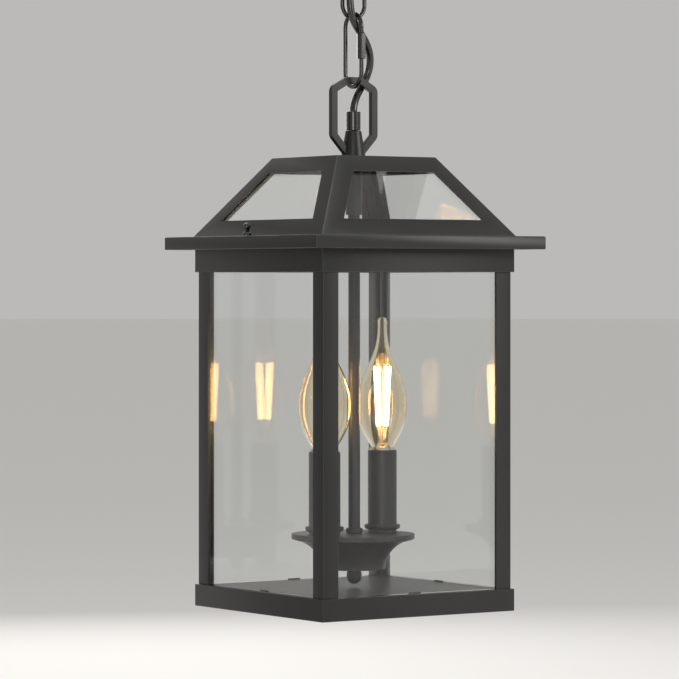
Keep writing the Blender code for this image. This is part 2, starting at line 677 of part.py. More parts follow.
# ---- cage ----------------------------------------------------------------------------------------------
def cage():
    outer, inner = CAGE_SIDE / 2, CAGE_SIDE / 2 - CAGE_WALL
    flange = EAVE_SIDE / 2 - SHEET - FLANGE_CLEARANCE
    profile = [
        (flange, flange_top),
        (flange, flange_bottom),
        (outer, flange_bottom),
        (outer, collar_bottom),
        (inner, collar_bottom),
        (inner, flange_top),
    ]
    corners = [CORNER] * 4 + [INNER_CORNER] * 2
    collar = finished("collar_frame", square_turned(profile, corners), satin_black())
    for x in (-screw_x, screw_x):
        boolean(collar, through_hole(screw_hole, 12, (x, 0, flange_top)))

    ledge_inner = inner - BASE_LEDGE
    profile = [
        (outer, base_top),
        (outer, base_bottom),
        (inner, base_bottom),
        (inner, ledge_top - CAGE_WALL),
        (ledge_inner, ledge_top - CAGE_WALL),
        (ledge_inner, ledge_top),
        (inner, ledge_top),
        (inner, base_top),
    ]
    corners = [CORNER] * 2 + [INNER_CORNER] * 6
    finished("base_frame", square_turned(profile, corners), satin_black())

    # corner posts: angles with a rounded outer edge
    far = post_outer - POST_LEG
    arc = [math.radians(a) for a in (180, 225, 270)]
    middle = -post_outer + CORNER
    outline = [(middle + CORNER * math.cos(a), middle + CORNER * math.sin(a)) for a in arc]
    back = -post_outer + POST_THICK
    outline += [(-far, -post_outer), (-far, back), (back, back), (back, -far), (-post_outer, -far)]
    post_top = flange_bottom - GAP
    for number, name in enumerate(("front_left", "front_right", "back_right", "back_left")):
        post = finished(f"post_{name}", extruded(outline, floor_bottom, post_top), satin_black())
        post.rotation_euler = (0, 0, number * math.pi / 2)

    # floor plate, notched round the posts, with a stop for the foot of each pane
    edge, notch, deep = post_outer, far - GAP, post_outer - POST_THICK - GAP
    quarter = [(notch, -edge), (notch, -deep), (deep, -deep), (deep, -notch), (edge, -notch)]
    outline = []
    for turn in range(4):
        c, s = round(math.cos(turn * math.pi / 2)), round(math.sin(turn * math.pi / 2))
        outline += [(x * c - y * s, x * s + y * c) for x, y in quarter]
    floor = finished("floor_plate", extruded(outline, floor_bottom, floor_top), satin_black())
    stop = pane_outer - PANE_THICK - GAP
    half = CLIP_WIDTH / 2
    for number in range(4):
        tab_low, tab_high = floor_top - FLOOR_THICK / 2, floor_top + STOP_HEIGHT
        tab = block((-half, -stop, tab_low), (half, -stop + CLIP_THICK, tab_high))
        piece = finished("tab", tab, None)
        piece.rotation_euler = (0, 0, number * math.pi / 2)
        bpy.context.view_layer.update()
        boolean(floor, piece, "UNION")

    # panes: front and back run right across, the sides fit between them
    foot, head = floor_top + GAP, pane_top
    inner_face = pane_outer - PANE_THICK
    wide = {"front": pane_outer, "right": inner_face - GAP, "back": pane_outer, "left": inner_face - GAP}
    for number, (name, reach) in enumerate(wide.items()):
        glass = block((-reach, -pane_outer, foot), (reach, -inner_face, head))
        pane = finished(f"pane_{name}", glass, clear_glass())
        pane.rotation_euler = (0, 0, number * math.pi / 2)

        # a spring clip over its top edge, fixed inside the collar
        wall, t = inner - GAP, CLIP_THICK
        top = head + GAP + t
        lower = collar_bottom + CLIP_FOOT
        tongue = inner_face - GAP
        section = [
            (-wall, lower),
            (-wall, top),
            (-tongue + t, top),
            (-tongue + t, head - CLIP_REACH),
            (-tongue, head - CLIP_REACH),
            (-tongue, top - t),
            (-wall + t, top - t),
            (-wall + t, lower),
        ]
        clip = finished(f"pane_clip_{name}", extruded(section, -half, half, "X"), bare_steel())
        clip.rotation_euler = (0, 0, number * math.pi / 2)


# ---- stem, dish and lamps ------------------------------------------------------------------------------
def stem():
    octagon_loop("hanger_loop", head_loop_base, 1, "XZ")
    gland("cord_gland", head_loop_base, 1)
    nipple_top = head_loop_base + HUB_SOCKET - NIPPLE_END_GAP
    nipple = [
        (NIPPLE_RADIUS, head_nipple_bottom),
        (NIPPLE_RADIUS, nipple_top),
        (NIPPLE_BORE, nipple_top),
        (NIPPLE_BORE, head_nipple_bottom),
    ]
    finished("head_nipple", turned(nipple, 16), bare_steel(), smooth=True)
    nut_top = roof_top - SHEET - GAP
    nut = hexagonal(LOCK_NUT_FLATS, thread_hole, nut_top - LOCK_NUT_HEIGHT, nut_top, 16)
    nut.name = "head_nut"
    nut.data.materials.clear()
    nut.data.materials.append(bare_steel())
    low = coupler_top - COUPLER_LENGTH
    tube = [
        (COUPLER_RADIUS, low),
        (COUPLER_RADIUS, coupler_top),
        (thread_hole, coupler_top),
        (thread_hole, stem_top + GAP),
        (stem_hole, stem_top + GAP),
        (stem_hole, low),
    ]
    finished("stem_coupling", turned(tube, 20), satin_black(), smooth=True)

    stem_bottom = dish_top - DISH_DEPTH - STEM_BELOW_DISH
    tube = [(STEM_RADIUS, stem_bottom), (STEM_RADIUS, stem_top)]
    tube += [(STEM_BORE, stem_top), (STEM_BORE, stem_bottom)]
    stem_tube = finished("stem_tube", turned(tube, 16), satin_black(), smooth=True)
    half, side = STEM_EXIT_WIDTH / 2, STEM_RADIUS + GAP
    exit_hole = block((-side, -half, dish_top - STEM_EXIT_LOW), (side, half, dish_top - STEM_EXIT_HIGH))
    boolean(stem_tube, finished("exit", exit_hole, None))
    low = cover_top + GAP
    side, high = STEM_NUT_RADIUS, low + STEM_NUT_HEIGHT
    ring = [
        (side, low),
        (side, low + STEM_NUT_BAND),
        (side - LOOP_EDGE, high),
        (stem_hole, high),
        (stem_hole, low),
    ]
    finished("stem_nut", turned(ring, 20), satin_black(), smooth=True)
    tail = dish_top - STEM_CORD_TAIL
    core = [(CORD_RADIUS, tail), (CORD_RADIUS, head_loop_base + HUB_HEIGHT + GLAND_HEIGHT)]
    finished("stem_cord", turned(core, 8, math.pi / 8, False), gloss_black(), smooth=True)


def dish():
    top, foot = dish_top, dish_top - DISH_DEPTH
    rim, wall = DISH_RADIUS, DISH_WALL
    under = top - DISH_RIM
    waist = rim - DISH_WAIST
    # a hollow curve under the rim, then a round one down to the foot
    drop = DISH_DEPTH - DISH_RIM - DISH_STEP
    outer = [(rim, top), (rim, under), (waist, under - DISH_STEP)]
    curve = []
    for i in range(1, 7):
        t = i / 6
        radius = DISH_FOOT_RADIUS + (waist - DISH_FOOT_RADIUS) * (1 - math.sin(t * math.pi / 2))
        curve.append((radius, under - DISH_STEP - drop * t ** DISH_CURVE))
    outer += curve
    seat = top - wall - GAP
    cover = rim - wall
    inner = [(cover, top), (cover, seat), (waist - 2 * wall, seat)]
    inner += [(radius - 1.5 * wall, height + 0.3 * wall) for radius, height in curve[:-1]]
    inner.append((DISH_FOOT_RADIUS - 1.5 * wall, foot + wall))
    profile = outer + [(stem_hole, foot), (stem_hole, foot + wall)] + inner[::-1]
    finished("cluster_dish", turned(profile, 32), satin_black(), smooth=True)

    disc = [(cover - GAP, top - wall), (cover - GAP, top), (stem_hole, top), (stem_hole, top - wall)]
    lid = finished("dish_cover", turned(disc, 32, math.pi / 32), satin_black())
    for x in (-CANDLE_SPACING / 2, CANDLE_SPACING / 2):
        boolean(lid, through_hole(SOCKET_TUBE_RADIUS + THREAD_CLEARANCE, 16, (x, 0, top)))

    high = foot - GAP
    r, low = FINIAL_RADIUS, high - FINIAL_HEIGHT
    cap = [(AXIS, low), (r * 0.5, low + 0.0008), (r * 0.86, low + 0.003), (r, low + 0.006), (r, high - 0.003)]
    cap += [(r * 0.9, high - 0.0018), (r, high - 0.0006), (r * 0.95, high)]
    cap += [(stem_hole, high), (stem_hole, high - FINIAL_SOCKET), (AXIS, high - FINIAL_SOCKET)]
    finial = turned(cap, 20, 0.0, False)
    finished("dish_finial", finial, satin_black(), smooth=True)


def bulb_outline():
    """A flame-shaped envelope, as (radius, height above its foot), from the tip down."""
    top, wide, neck = BULB_LENGTH, BULB_RADIUS, BULB_NECK_RADIUS
    tip = 0.0041
    shape = [(AXIS, top), (tip * 0.8, top - 0.001), (tip, top - 0.0045), (tip * 0.93, top - 0.009)]
    shape += [(tip, top - 0.0155), (tip * 1.35, top - 0.0245), (tip * 2.05, top - 0.034)]
    shape += [(wide * 0.59, top - 0.0415), (wide * 0.76, top - 0.0490), (wide * 0.91, top - 0.0585)]
    shape += [(wide * 0.985, top - 0.0675), (wide, top - 0.0745), (wide * 0.975, top - 0.0825)]
    shape += [(wide * 0.89, top - 0.0905), (wide * 0.73, top - 0.0985), (wide * 0.56, top - 0.1045)]
    return shape + [(neck, 0.0)]


def lamps():
    foot = bulb_bottom + BULB_RING_HEIGHT + GAP
    outline = [(r, foot + z) for r, z in bulb_outline()]
    inside = [(r - BULB_WALL, z) for r, z in outline[3::2]]
    inside[0] = (AXIS, outline[3][1])
    for name, x in (("left", -CANDLE_SPACING / 2), ("right", CANDLE_SPACING / 2)):
        # cup and sleeve
        low, high = cover_top + GAP, cover_top + GAP + CUP_HEIGHT
        bore = SOCKET_TUBE_RADIUS + THREAD_CLEARANCE
        seat = SLEEVE_RADIUS + GAP
        cup = [(bore, low), (SLEEVE_RADIUS, low), (SLEEVE_RADIUS, low + 0.0022), (CUP_RADIUS, low + 0.0034)]
        cup += [(CUP_RADIUS, high - 0.0005), (CUP_RADIUS - 0.0005, high), (seat, high)]
        cup += [(seat, sleeve_bottom - GAP), (bore, sleeve_bottom - GAP)]
        finished(f"candle_cup_{name}", turned(cup, 24), satin_black(), (x, 0, 0), smooth=True)
        tube_in = SLEEVE_RADIUS - SLEEVE_WALL
        tube = [(SLEEVE_RADIUS, sleeve_bottom), (SLEEVE_RADIUS, sleeve_top), (tube_in, sleeve_top),
                (tube_in, sleeve_bottom)]
        finished(f"candle_sleeve_{name}", turned(tube, 24), satin_black(), (x, 0, 0), smooth=True)

        # socket on its threaded tube
        mouth = sleeve_top - SOCKET_DROP
        body = mouth - SOCKET_HEIGHT
        tube_bottom = cover_top - DISH_WALL - SOCKET_TUBE_TAIL
        socket = [
            (AXIS, tube_bottom),
            (SOCKET_TUBE_RADIUS, tube_bottom),
            (SOCKET_TUBE_RADIUS, body - SOCKET_NECK),
            (socket_radius * 0.75, body),
            (socket_radius, body + 0.001),
            (socket_radius, mouth),
            (bulb_hole, mouth),
            (bulb_hole, mouth - SOCKET_BORE_DEPTH),
            (AXIS, mouth - SOCKET_BORE_DEPTH),
        ]
        holder = turned(socket, 16)
        finished(f"lamp_socket_{name}", holder, material("black_phenolic", (0.02, 0.02, 0.02), 0.5),
                 (x, 0, 0), smooth=True)

        # bulb: envelope, metal base and inner glass stem
        finished(f"bulb_glass_{name}", closed_tip(outline, inside), clear_glass(), (x, 0, 0), smooth=True)
        ring_top = bulb_bottom + BULB_RING_HEIGHT
        thread_top = mouth + GAP
        base = [
            (AXIS, thread_top - BULB_THREAD_LENGTH),
            (BULB_THREAD_RADIUS * 0.6, thread_top - BULB_THREAD_LENGTH + 0.0008),
            (BULB_THREAD_RADIUS, thread_top - BULB_THREAD_LENGTH + 0.003),
            (BULB_THREAD_RADIUS, thread_top),
            (BULB_SKIRT_RADIUS, thread_top + 0.003),
            (BULB_SKIRT_RADIUS, bulb_bottom),
            (BULB_RING_RADIUS, bulb_bottom),
            (BULB_RING_RADIUS, ring_top),
            (AXIS, ring_top),
        ]
        finished(f"bulb_base_{name}", turned(base, 20, 0.0, False), bare_steel(), (x, 0, 0), smooth=True)
        inner_foot = ring_top + GAP
        flare = [
            (AXIS, inner_foot + BULB_STEM_HEIGHT),
            (BULB_STEM_RADIUS, inner_foot + BULB_STEM_HEIGHT - 0.001),
            (BULB_STEM_RADIUS, inner_foot + BULB_STEM_HEIGHT / 2),
            (BULB_STEM_FLARE * 0.7, inner_foot + 0.004),
            (BULB_STEM_FLARE, inner_foot),
            (AXIS, inner_foot),
        ]
        finished(f"bulb_stem_{name}", turned(flare, 12, 0.0, False), clear_glass(), (x, 0, 0), smooth=True)


def closed_tip(outline, inside):
    """The envelope's wall: outside from the tip to the neck, back up inside, each end closed at the tip."""
    sides = 24
    shape = bmesh.new()
    outer = [[shape.verts.new(p) for p in circle(r, z, sides)] for r, z in outline]
    inner = [[shape.verts.new(p) for p in circle(r, z, sides)] for r, z in inside]
    rows = list(zip(outer, outer[1:])) + [(outer[-1], inner[-1])] + list(zip(inner[::-1], inner[-2::-1]))
    for first, second in rows:
        for i in range(sides):
            j = (i + 1) % sides
            shape.faces.new((first[i], first[j], second[j], second[i]))
    shape.faces.new(outer[0])
    shape.faces.new(inner[0])
    return shape


# ---- cord ----------------------------------------------------------------------------------------------
def smooth_route(points, samples=24):
    """A Catmull-Rom curve through the points, as many short steps."""
    ends = [points[0] * 2 - points[1]] + points + [points[-1] * 2 - points[-2]]
    line = []
    for a, b, c, d in zip(ends, ends[1:], ends[2:], ends[3:]):
        for i in range(samples):
            t = i / samples
            line.append(0.5 * (2 * b + (c - a) * t + (2 * a - 5 * b + 4 * c - d) * t ** 2
                               + (3 * b - a - 3 * c + d) * t ** 3))
    return line + [points[-1]]


def spaced(line, step):
    """Points at even distances along a line, both ends included."""
    lengths = [(b - a).length for a, b in zip(line, line[1:])]
    count = max(4, round(sum(lengths) / step))
    kept, travelled, target = [line[0]], 0.0, sum(lengths) / count
    for (a, b), length in zip(zip(line, line[1:]), lengths):
        while len(kept) < count and travelled + length >= target * len(kept):
            kept.append(a.lerp(b, (target * len(kept) - travelled) / length))
        travelled += length
    return kept + [line[-1]]


def cord():
    ceiling_gland = upper_loop_base - HUB_HEIGHT - GAP - GLAND_HEIGHT - GAP
    route = [Vector((x, y, roof_top + z)) for x, y, z in CORD_ROUTE]
    route.append(Vector((0, 0, ceiling_gland)))
    line = smooth_route(route)
    first, second = (roof_top + z for z in CORD_SPLITS)
    stretches = {
        "cord_lower": [p for p in line if p.z <= first],
        "cord_middle": [p for p in line if first + CORD_GAP < p.z <= second],
        "cord_upper": [p for p in line if p.z > second + CORD_GAP],
    }
    for name, stretch in stretches.items():
        curve = bpy.data.curves.new(name, "CURVE")
        curve.dimensions = "3D"
        curve.bevel_depth = CORD_RADIUS
        curve.bevel_resolution = 2
        curve.use_fill_caps = True
        points = spaced(stretch, CORD_STEP)
        spline = curve.splines.new("POLY")
        spline.points.add(len(points) - 1)
        for slot, place in zip(spline.points, points):
            slot.co = (*place, 1)
        made = bpy.data.objects.new(name, curve)
        curve.materials.append(material("black_cord_jacket", (0.02, 0.02, 0.02), 0.3))
        bpy.context.scene.collection.objects.link(made)


# ---- what hangs on what ----------------------------------------------------------------------------------
def pivot(name, place, pieces, carrier=None):
    """Puts pieces under an empty that lies on the axis of the joint they move by."""
    made = bpy.data.objects.new(name, None)
    made.location = place
    bpy.context.scene.collection.objects.link(made)
    bpy.context.view_layer.update()
    for piece in [bpy.data.objects[p] for p in pieces]:
        piece.parent = made
        piece.matrix_parent_inverse = made.matrix_world.inverted()
    if carrier:
        made.parent = carrier
        made.matrix_parent_inverse = carrier.matrix_world.inverted()
    return made


def hang_together():
    sides, corners = ("left", "right"), ("front_left", "front_right", "back_left", "back_right")
    faces = ("front", "right", "back", "left")
    nut_y = -(QUICK_WIDTH - WIRE) / 2
    link = pivot("chain_link_pivot", (0, 0, upper_pivot), ["chain_link", "cord_upper"])
    quick = pivot("quick_link_pivot", (0, 0, link_pivot), ["quick_link", "cord_middle"], link)
    pivot("quick_link_nut_path", (0, nut_y, quick_top), ["quick_link_nut"], quick)
    head = ["hanger_loop", "cord_gland", "head_nipple", "head_nut", "roof_frame", "eave_tray", "cord_lower"]
    head += ["stem_coupling", "stem_tube", "stem_nut", "stem_cord"]
    head += ["cluster_dish", "dish_cover", "dish_finial"]
    head += [f"roof_pane_{face}" for face in faces]
    head += [f"{kind}_{side}" for kind in ("candle_cup", "candle_sleeve", "lamp_socket") for side in sides]
    lantern = pivot("lantern_pivot", (0, 0, quick_pivot), head, quick)
    frame = ["collar_frame", "base_frame", "floor_plate"] + [f"post_{corner}" for corner in corners]
    frame += [f"{kind}_{face}" for kind in ("pane", "pane_clip") for face in faces]
    frame += [f"weld_nut_{side}" for side in sides]
    pivot("cage_path", (0, 0, flange_top), frame, lantern)
    for side, sign in zip(sides, (-1, 1)):
        pivot(f"thumb_screw_axis_{side}", (sign * screw_x, 0, eave_top), [f"thumb_screw_{side}"], lantern)
        lamp = [f"bulb_glass_{side}", f"bulb_base_{side}", f"bulb_stem_{side}"]
        pivot(f"bulb_axis_{side}", (sign * CANDLE_SPACING / 2, 0, bulb_bottom), lamp, lantern)


clear_scene()
ceiling_parts()
chain()
roof()
thumb_screws()
cage()
stem()
dish()
lamps()
cord()
hang_together()
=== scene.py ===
import json
import math

import bpy
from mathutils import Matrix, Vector

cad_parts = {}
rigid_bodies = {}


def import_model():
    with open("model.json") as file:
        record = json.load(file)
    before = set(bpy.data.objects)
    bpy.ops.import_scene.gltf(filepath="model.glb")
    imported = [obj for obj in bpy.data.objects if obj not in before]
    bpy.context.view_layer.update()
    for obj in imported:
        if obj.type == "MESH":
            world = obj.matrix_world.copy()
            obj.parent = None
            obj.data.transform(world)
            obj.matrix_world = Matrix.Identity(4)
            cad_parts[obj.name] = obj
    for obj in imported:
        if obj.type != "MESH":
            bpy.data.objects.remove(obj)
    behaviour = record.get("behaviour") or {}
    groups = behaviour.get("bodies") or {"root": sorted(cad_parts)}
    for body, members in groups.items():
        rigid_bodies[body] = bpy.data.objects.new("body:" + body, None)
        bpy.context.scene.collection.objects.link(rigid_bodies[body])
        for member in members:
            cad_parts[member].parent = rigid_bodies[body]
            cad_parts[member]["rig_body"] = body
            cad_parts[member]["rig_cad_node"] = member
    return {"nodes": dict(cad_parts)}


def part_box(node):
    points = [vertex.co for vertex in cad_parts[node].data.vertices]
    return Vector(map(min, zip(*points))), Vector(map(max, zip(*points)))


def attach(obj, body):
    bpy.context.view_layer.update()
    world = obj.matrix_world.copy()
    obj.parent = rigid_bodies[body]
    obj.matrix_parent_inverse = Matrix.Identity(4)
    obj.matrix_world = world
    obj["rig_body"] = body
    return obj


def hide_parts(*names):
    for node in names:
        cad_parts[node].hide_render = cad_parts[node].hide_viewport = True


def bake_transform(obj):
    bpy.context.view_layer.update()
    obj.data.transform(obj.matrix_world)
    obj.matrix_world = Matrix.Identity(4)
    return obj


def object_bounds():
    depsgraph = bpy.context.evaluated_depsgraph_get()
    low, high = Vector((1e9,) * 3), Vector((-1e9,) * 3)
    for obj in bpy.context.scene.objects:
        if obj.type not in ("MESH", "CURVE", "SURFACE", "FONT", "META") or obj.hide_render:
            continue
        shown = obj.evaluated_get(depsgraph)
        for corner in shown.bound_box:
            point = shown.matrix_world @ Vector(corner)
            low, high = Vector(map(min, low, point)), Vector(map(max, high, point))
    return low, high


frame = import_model()
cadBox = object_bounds()
nodes = frame["nodes"]

# everything hangs on one upright axis, below the ceiling at z = 0
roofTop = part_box("roof_frame")[1].z
sides = {"left": -1, "right": 1}
faces = ("front", "right", "back", "left")
gap = 0.0003  # between pieces that seat on each other
overrun = 0.002  # how far a drill reaches past the face it cuts


# selecting, editing and finishing, used by every piece below

def clearSelection():
    if bpy.context.mode != "OBJECT":
        bpy.ops.object.mode_set(mode="OBJECT")
    bpy.ops.object.select_all(action="DESELECT")


def pickOnly(piece):
    clearSelection()
    piece.select_set(True)
    bpy.context.view_layer.objects.active = piece


def editAll(piece):
    pickOnly(piece)
    bpy.ops.object.mode_set(mode="EDIT")
    bpy.ops.mesh.select_mode(type="VERT")
    bpy.ops.mesh.select_all(action="SELECT")


def named(name):
    piece = bpy.context.object
    piece.name = name
    piece.data.name = name
    bpy.ops.object.transform_apply(location=True, rotation=True, scale=True)
    return piece


def applied(piece, kind, **settings):
    pickOnly(piece)
    step = piece.modifiers.new(kind.lower(), kind)
    for setting, value in settings.items():
        setattr(step, setting, value)
    bpy.ops.object.modifier_apply(modifier=step.name)


def cut(piece, cutter, operation="DIFFERENCE"):
    applied(piece, "BOOLEAN", object=cutter, operation=operation, solver="EXACT")
    bpy.data.objects.remove(cutter, do_unlink=True)


def smoothed(piece, angle=35):
    pickOnly(piece)
    bpy.ops.object.shade_smooth_by_angle(angle=math.radians(angle))


def softened(piece, width, segments=2, sharpest=30, smooth=35):
    smoothed(piece, smooth)
    applied(piece, "BEVEL", width=width, segments=segments, limit_method="ANGLE",
            angle_limit=math.radians(sharpest), harden_normals=True, miter_outer="MITER_ARC")


def welded(piece, distance=2e-6):
    editAll(piece)
    bpy.ops.mesh.remove_doubles(threshold=distance)
    bpy.ops.mesh.normals_make_consistent(inside=False)
    bpy.ops.object.mode_set(mode="OBJECT")


def settled(piece, body, slot, *stoodFor):
    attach(piece, body)
    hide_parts(*stoodFor)
    return piece


# a profile of (radius, height) points drawn point by point and spun round an upright axis

def turned(name, profile, centre=(0, 0), steps=64):
    x, y = centre
    clearSelection()
    bpy.ops.mesh.primitive_plane_add(size=0.001)
    piece = named(name)
    editAll(piece)
    bpy.ops.mesh.merge(type="CENTER")
    radius, height = profile[0]
    bpy.ops.transform.translate(value=(x + radius, y, height))
    for (r, z), (nextR, nextZ) in zip(profile, profile[1:]):
        bpy.ops.mesh.extrude_region_move(TRANSFORM_OT_translate={"value": (nextR - r, 0, nextZ - z)})
    bpy.ops.mesh.select_all(action="SELECT")
    bpy.ops.mesh.spin(steps=steps, angle=math.tau, center=(x, y, 0), axis=(0, 0, 1))
    bpy.ops.object.mode_set(mode="OBJECT")
    welded(piece)
    return piece


def tubeOutline(radius, bore, bottom, top):
    return [(radius, bottom), (radius, top), (bore, top), (bore, bottom), (radius, bottom)]


def arc(centre, radius, fromAngle, toAngle, steps):
    turns = [math.radians(fromAngle + (toAngle - fromAngle) * i / steps) for i in range(steps + 1)]
    return [(centre[0] + radius * math.cos(a), centre[1] + radius * math.sin(a)) for a in turns]


# a section carried along straights and bends in one upright plane, as a bar is bent on a bench

def bent(name, section, start, moves, plane, arcStep=6, closed=False):
    along = Vector((1, 0, 0)) if plane == "XZ" else Vector((0, 1, 0))
    up = Vector((0, 0, 1))
    turnAxis = -along.cross(up)

    def leftOf(heading):
        return along * -math.sin(math.radians(heading)) + up * math.cos(math.radians(heading))

    clearSelection()
    place = along * start[0] + up * start[1]
    if section["kind"] == "wire":
        bpy.ops.mesh.primitive_circle_add(vertices=section["sides"], radius=section["radius"], location=place)
    else:
        bpy.ops.mesh.primitive_plane_add(size=1, location=place)
        wide, thick = section["width"], section["thick"]
        bpy.context.object.scale = (wide, thick, 1) if plane == "XZ" else (thick, wide, 1)
    piece = named(name)
    editAll(piece)
    if section["kind"] == "bar":
        bpy.ops.mesh.delete(type="ONLY_FACE")
        bpy.ops.mesh.select_all(action="SELECT")
    heading = 90.0
    for kind, *size in moves:
        direction = along * math.cos(math.radians(heading)) + up * math.sin(math.radians(heading))
        if kind == "straight":
            bpy.ops.mesh.extrude_region_move(TRANSFORM_OT_translate={"value": direction * size[0]})
            place = place + direction * size[0]
        else:
            degrees, radius = size
            sign = 1 if degrees > 0 else -1
            inward = leftOf(heading) * sign
            centre = place + inward * radius
            bpy.ops.mesh.spin(steps=max(2, round(abs(degrees) / arcStep)), angle=math.radians(abs(degrees)),
                              center=centre, axis=turnAxis * sign)
            heading += degrees
            outward = -leftOf(heading) * sign
            place = centre + outward * radius
    if not closed:
        bpy.ops.mesh.edge_face_add()
        bpy.ops.mesh.select_all(action="DESELECT")
        bpy.ops.mesh.select_non_manifold()
        bpy.ops.mesh.edge_face_add()
    bpy.ops.object.mode_set(mode="OBJECT")
    welded(piece, 2e-5)
    return piece


def drilled(piece, radius, bottom, top, centre=(0, 0), sideCount=32):
    clearSelection()
    bpy.ops.mesh.primitive_cylinder_add(vertices=sideCount, radius=radius, depth=top - bottom,
                                        location=(centre[0], centre[1], (top + bottom) / 2))
    cut(piece, named("drill"))


# a copy of a CAD node with its triangles merged into whole faces and its edges rounded

refineValues = {"weld": 2e-6, "flatWithin": 0.4}


def refined(node, name, edge, segments=2, sharpest=50):
    pickOnly(nodes[node])
    bpy.ops.object.duplicate()
    piece = bpy.context.object
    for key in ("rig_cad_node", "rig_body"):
        del piece[key]
    piece.parent = None
    piece.name = name
    piece.data.name = name
    piece.data.materials.clear()
    editAll(piece)
    if piece.data.has_custom_normals:
        bpy.ops.mesh.customdata_custom_splitnormals_clear()
    bpy.ops.mesh.remove_doubles(threshold=refineValues["weld"])
    bpy.ops.mesh.dissolve_limited(angle_limit=math.radians(refineValues["flatWithin"]))
    bpy.ops.mesh.select_all(action="SELECT")
    bpy.ops.mesh.normals_make_consistent(inside=False)
    bpy.ops.object.mode_set(mode="OBJECT")
    softened(piece, edge, segments, sharpest, sharpest)
    return piece


def refinedPart(node, name, edge, body, slot, segments=2):
    return settled(refined(node, name, edge, segments), body, slot, node)


# camera: level, to the left of the front pane, long lens

cameraValues = {
    "place": (-1.7326, -2.5175, roofTop - 0.1069), "turn": -34.32, "lens": 194.35, "shiftY": -0.0786,
    "clipStart": 0.05,
}

clearSelection()
bpy.ops.object.camera_add(location=cameraValues["place"],
                          rotation=(math.radians(90), 0, math.radians(cameraValues["turn"])))
camera = bpy.context.object
camera.name = "camera"
camera.data.lens = cameraValues["lens"]
camera.data.shift_y = cameraValues["shiftY"]
camera.data.clip_start = cameraValues["clipStart"]
bpy.context.scene.camera = camera
print("camera set")


# cord: one flex from the lantern's gland to the ceiling's, as three stretches split at two heights

cordValues = {
    "diameter": 0.0062,
    # (x, y, height above the top of the roof)
    "route": [
        (0.0, 0.0, 0.0393), (0.0009, 0.0005, 0.0435), (0.0029, 0.0016, 0.0478),
        (0.0058, 0.0031, 0.0520), (0.0094, 0.0046, 0.0562), (0.0128, 0.0057, 0.0605),
        (0.0159, 0.0061, 0.0650), (0.0182, 0.0057, 0.0700), (0.0193, 0.0046, 0.0752),
        (0.0190, 0.0029, 0.0805), (0.0174, 0.0009, 0.0858), (0.0146, -0.0011, 0.0910),
        (0.0109, -0.0028, 0.0962), (0.0064, -0.0041, 0.1015), (0.0020, -0.0049, 0.1065),
        (-0.0017, -0.0054, 0.1110), (-0.0045, -0.0056, 0.1160), (-0.0064, -0.0058, 0.1222),
        (-0.0074, -0.0059, 0.1295), (-0.0077, -0.0059, 0.1370), (-0.0070, -0.0056, 0.1450),
        (-0.0050, -0.0044, 0.1530), (-0.0018, -0.0017, 0.1625),
    ],
    "joins": (0.0854, 0.1290),
    "bends": ((0.0400, 0.0800), (0.0880, 0.1270), (0.1310, 0.1690)),
    "step": 0.0012,
    "roundness": 5,
}


def smoothRoute(points, samples=30):
    ends = [points[0] * 2 - points[1]] + points + [points[-1] * 2 - points[-2]]
    line = []
    for a, b, c, d in zip(ends, ends[1:], ends[2:], ends[3:]):
        for i in range(samples):
            t = i / samples
            line.append(0.5 * (2 * b + (c - a) * t + (2 * a - 5 * b + 4 * c - d) * t ** 2
                               + (3 * b - a - 3 * c + d) * t ** 3))
    return line + [points[-1]]


def evenly(line, step):
    lengths = [(b - a).length for a, b in zip(line, line[1:])]
    count = max(4, round(sum(lengths) / step))
    share = sum(lengths) / count
    kept, travelled = [line[0]], 0.0
    for a, b, length in zip(line, line[1:], lengths):
        while len(kept) < count and travelled + length >= share * len(kept):
            kept.append(a.lerp(b, (share * len(kept) - travelled) / length))
        travelled += length
    return kept + [line[-1]], sum(lengths)


def atHeight(line, height):
    for a, b in zip(line, line[1:]):
        if a.z <= height <= b.z:
            return a.lerp(b, (height - a.z) / (b.z - a.z))
    return line[-1]


def makeCord():
    values = cordValues
    route = [Vector((x, y, roofTop + z)) for x, y, z in values["route"]]
    route.append(Vector((0, 0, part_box("canopy_gland")[0].z - gap)))
    line = smoothRoute(route)
    joins = [roofTop + z for z in values["joins"]]
    marks = [line[0]] + [atHeight(line, z) for z in joins] + [line[-1]]
    made = []
    for i, name in enumerate(("lower", "middle", "upper")):
        first, last = marks[i], marks[i + 1]
        inside = [p for p in line if first.z < p.z < last.z]
        points, length = evenly([first] + inside + [last], values["step"])
        clearSelection()
        bpy.ops.curve.primitive_bezier_curve_add()
        flex = bpy.context.object
        flex.name = f"flex_{name}"
        flex.data.splines.clear()
        spline = flex.data.splines.new("POLY")
        spline.points.add(len(points) - 1)
        for slot, place in zip(spline.points, points):
            slot.co = (*place, 1)
        flex.data.bevel_depth = values["diameter"] / 2
        flex.data.bevel_resolution = values["roundness"]
        flex.data.use_fill_caps = True
        pickOnly(flex)
        bpy.ops.object.convert(target="MESH")
        flex = bpy.context.object
        flex.data.name = flex.name
        smoothed(flex, 40)
        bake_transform(flex)
        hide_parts(f"cord_{name}")
        made.append(flex)
    return made


cords = makeCord()
print("cord laid")


# ceiling: strap, coupling, threaded tube and canopy

ceilingValues = {
    "strapEdge": 0.00025, "couplingEdge": 0.0004, "threadPitch": 0.0010, "threadDepth": 0.00028,
    "canopyShoulder": 0.0120, "canopyWall": 0.0015, "canopySteps": 128, "canopyEdge": 0.0004,
    "canopyBore": 0.0051, "tubeBore": 0.0035,
}


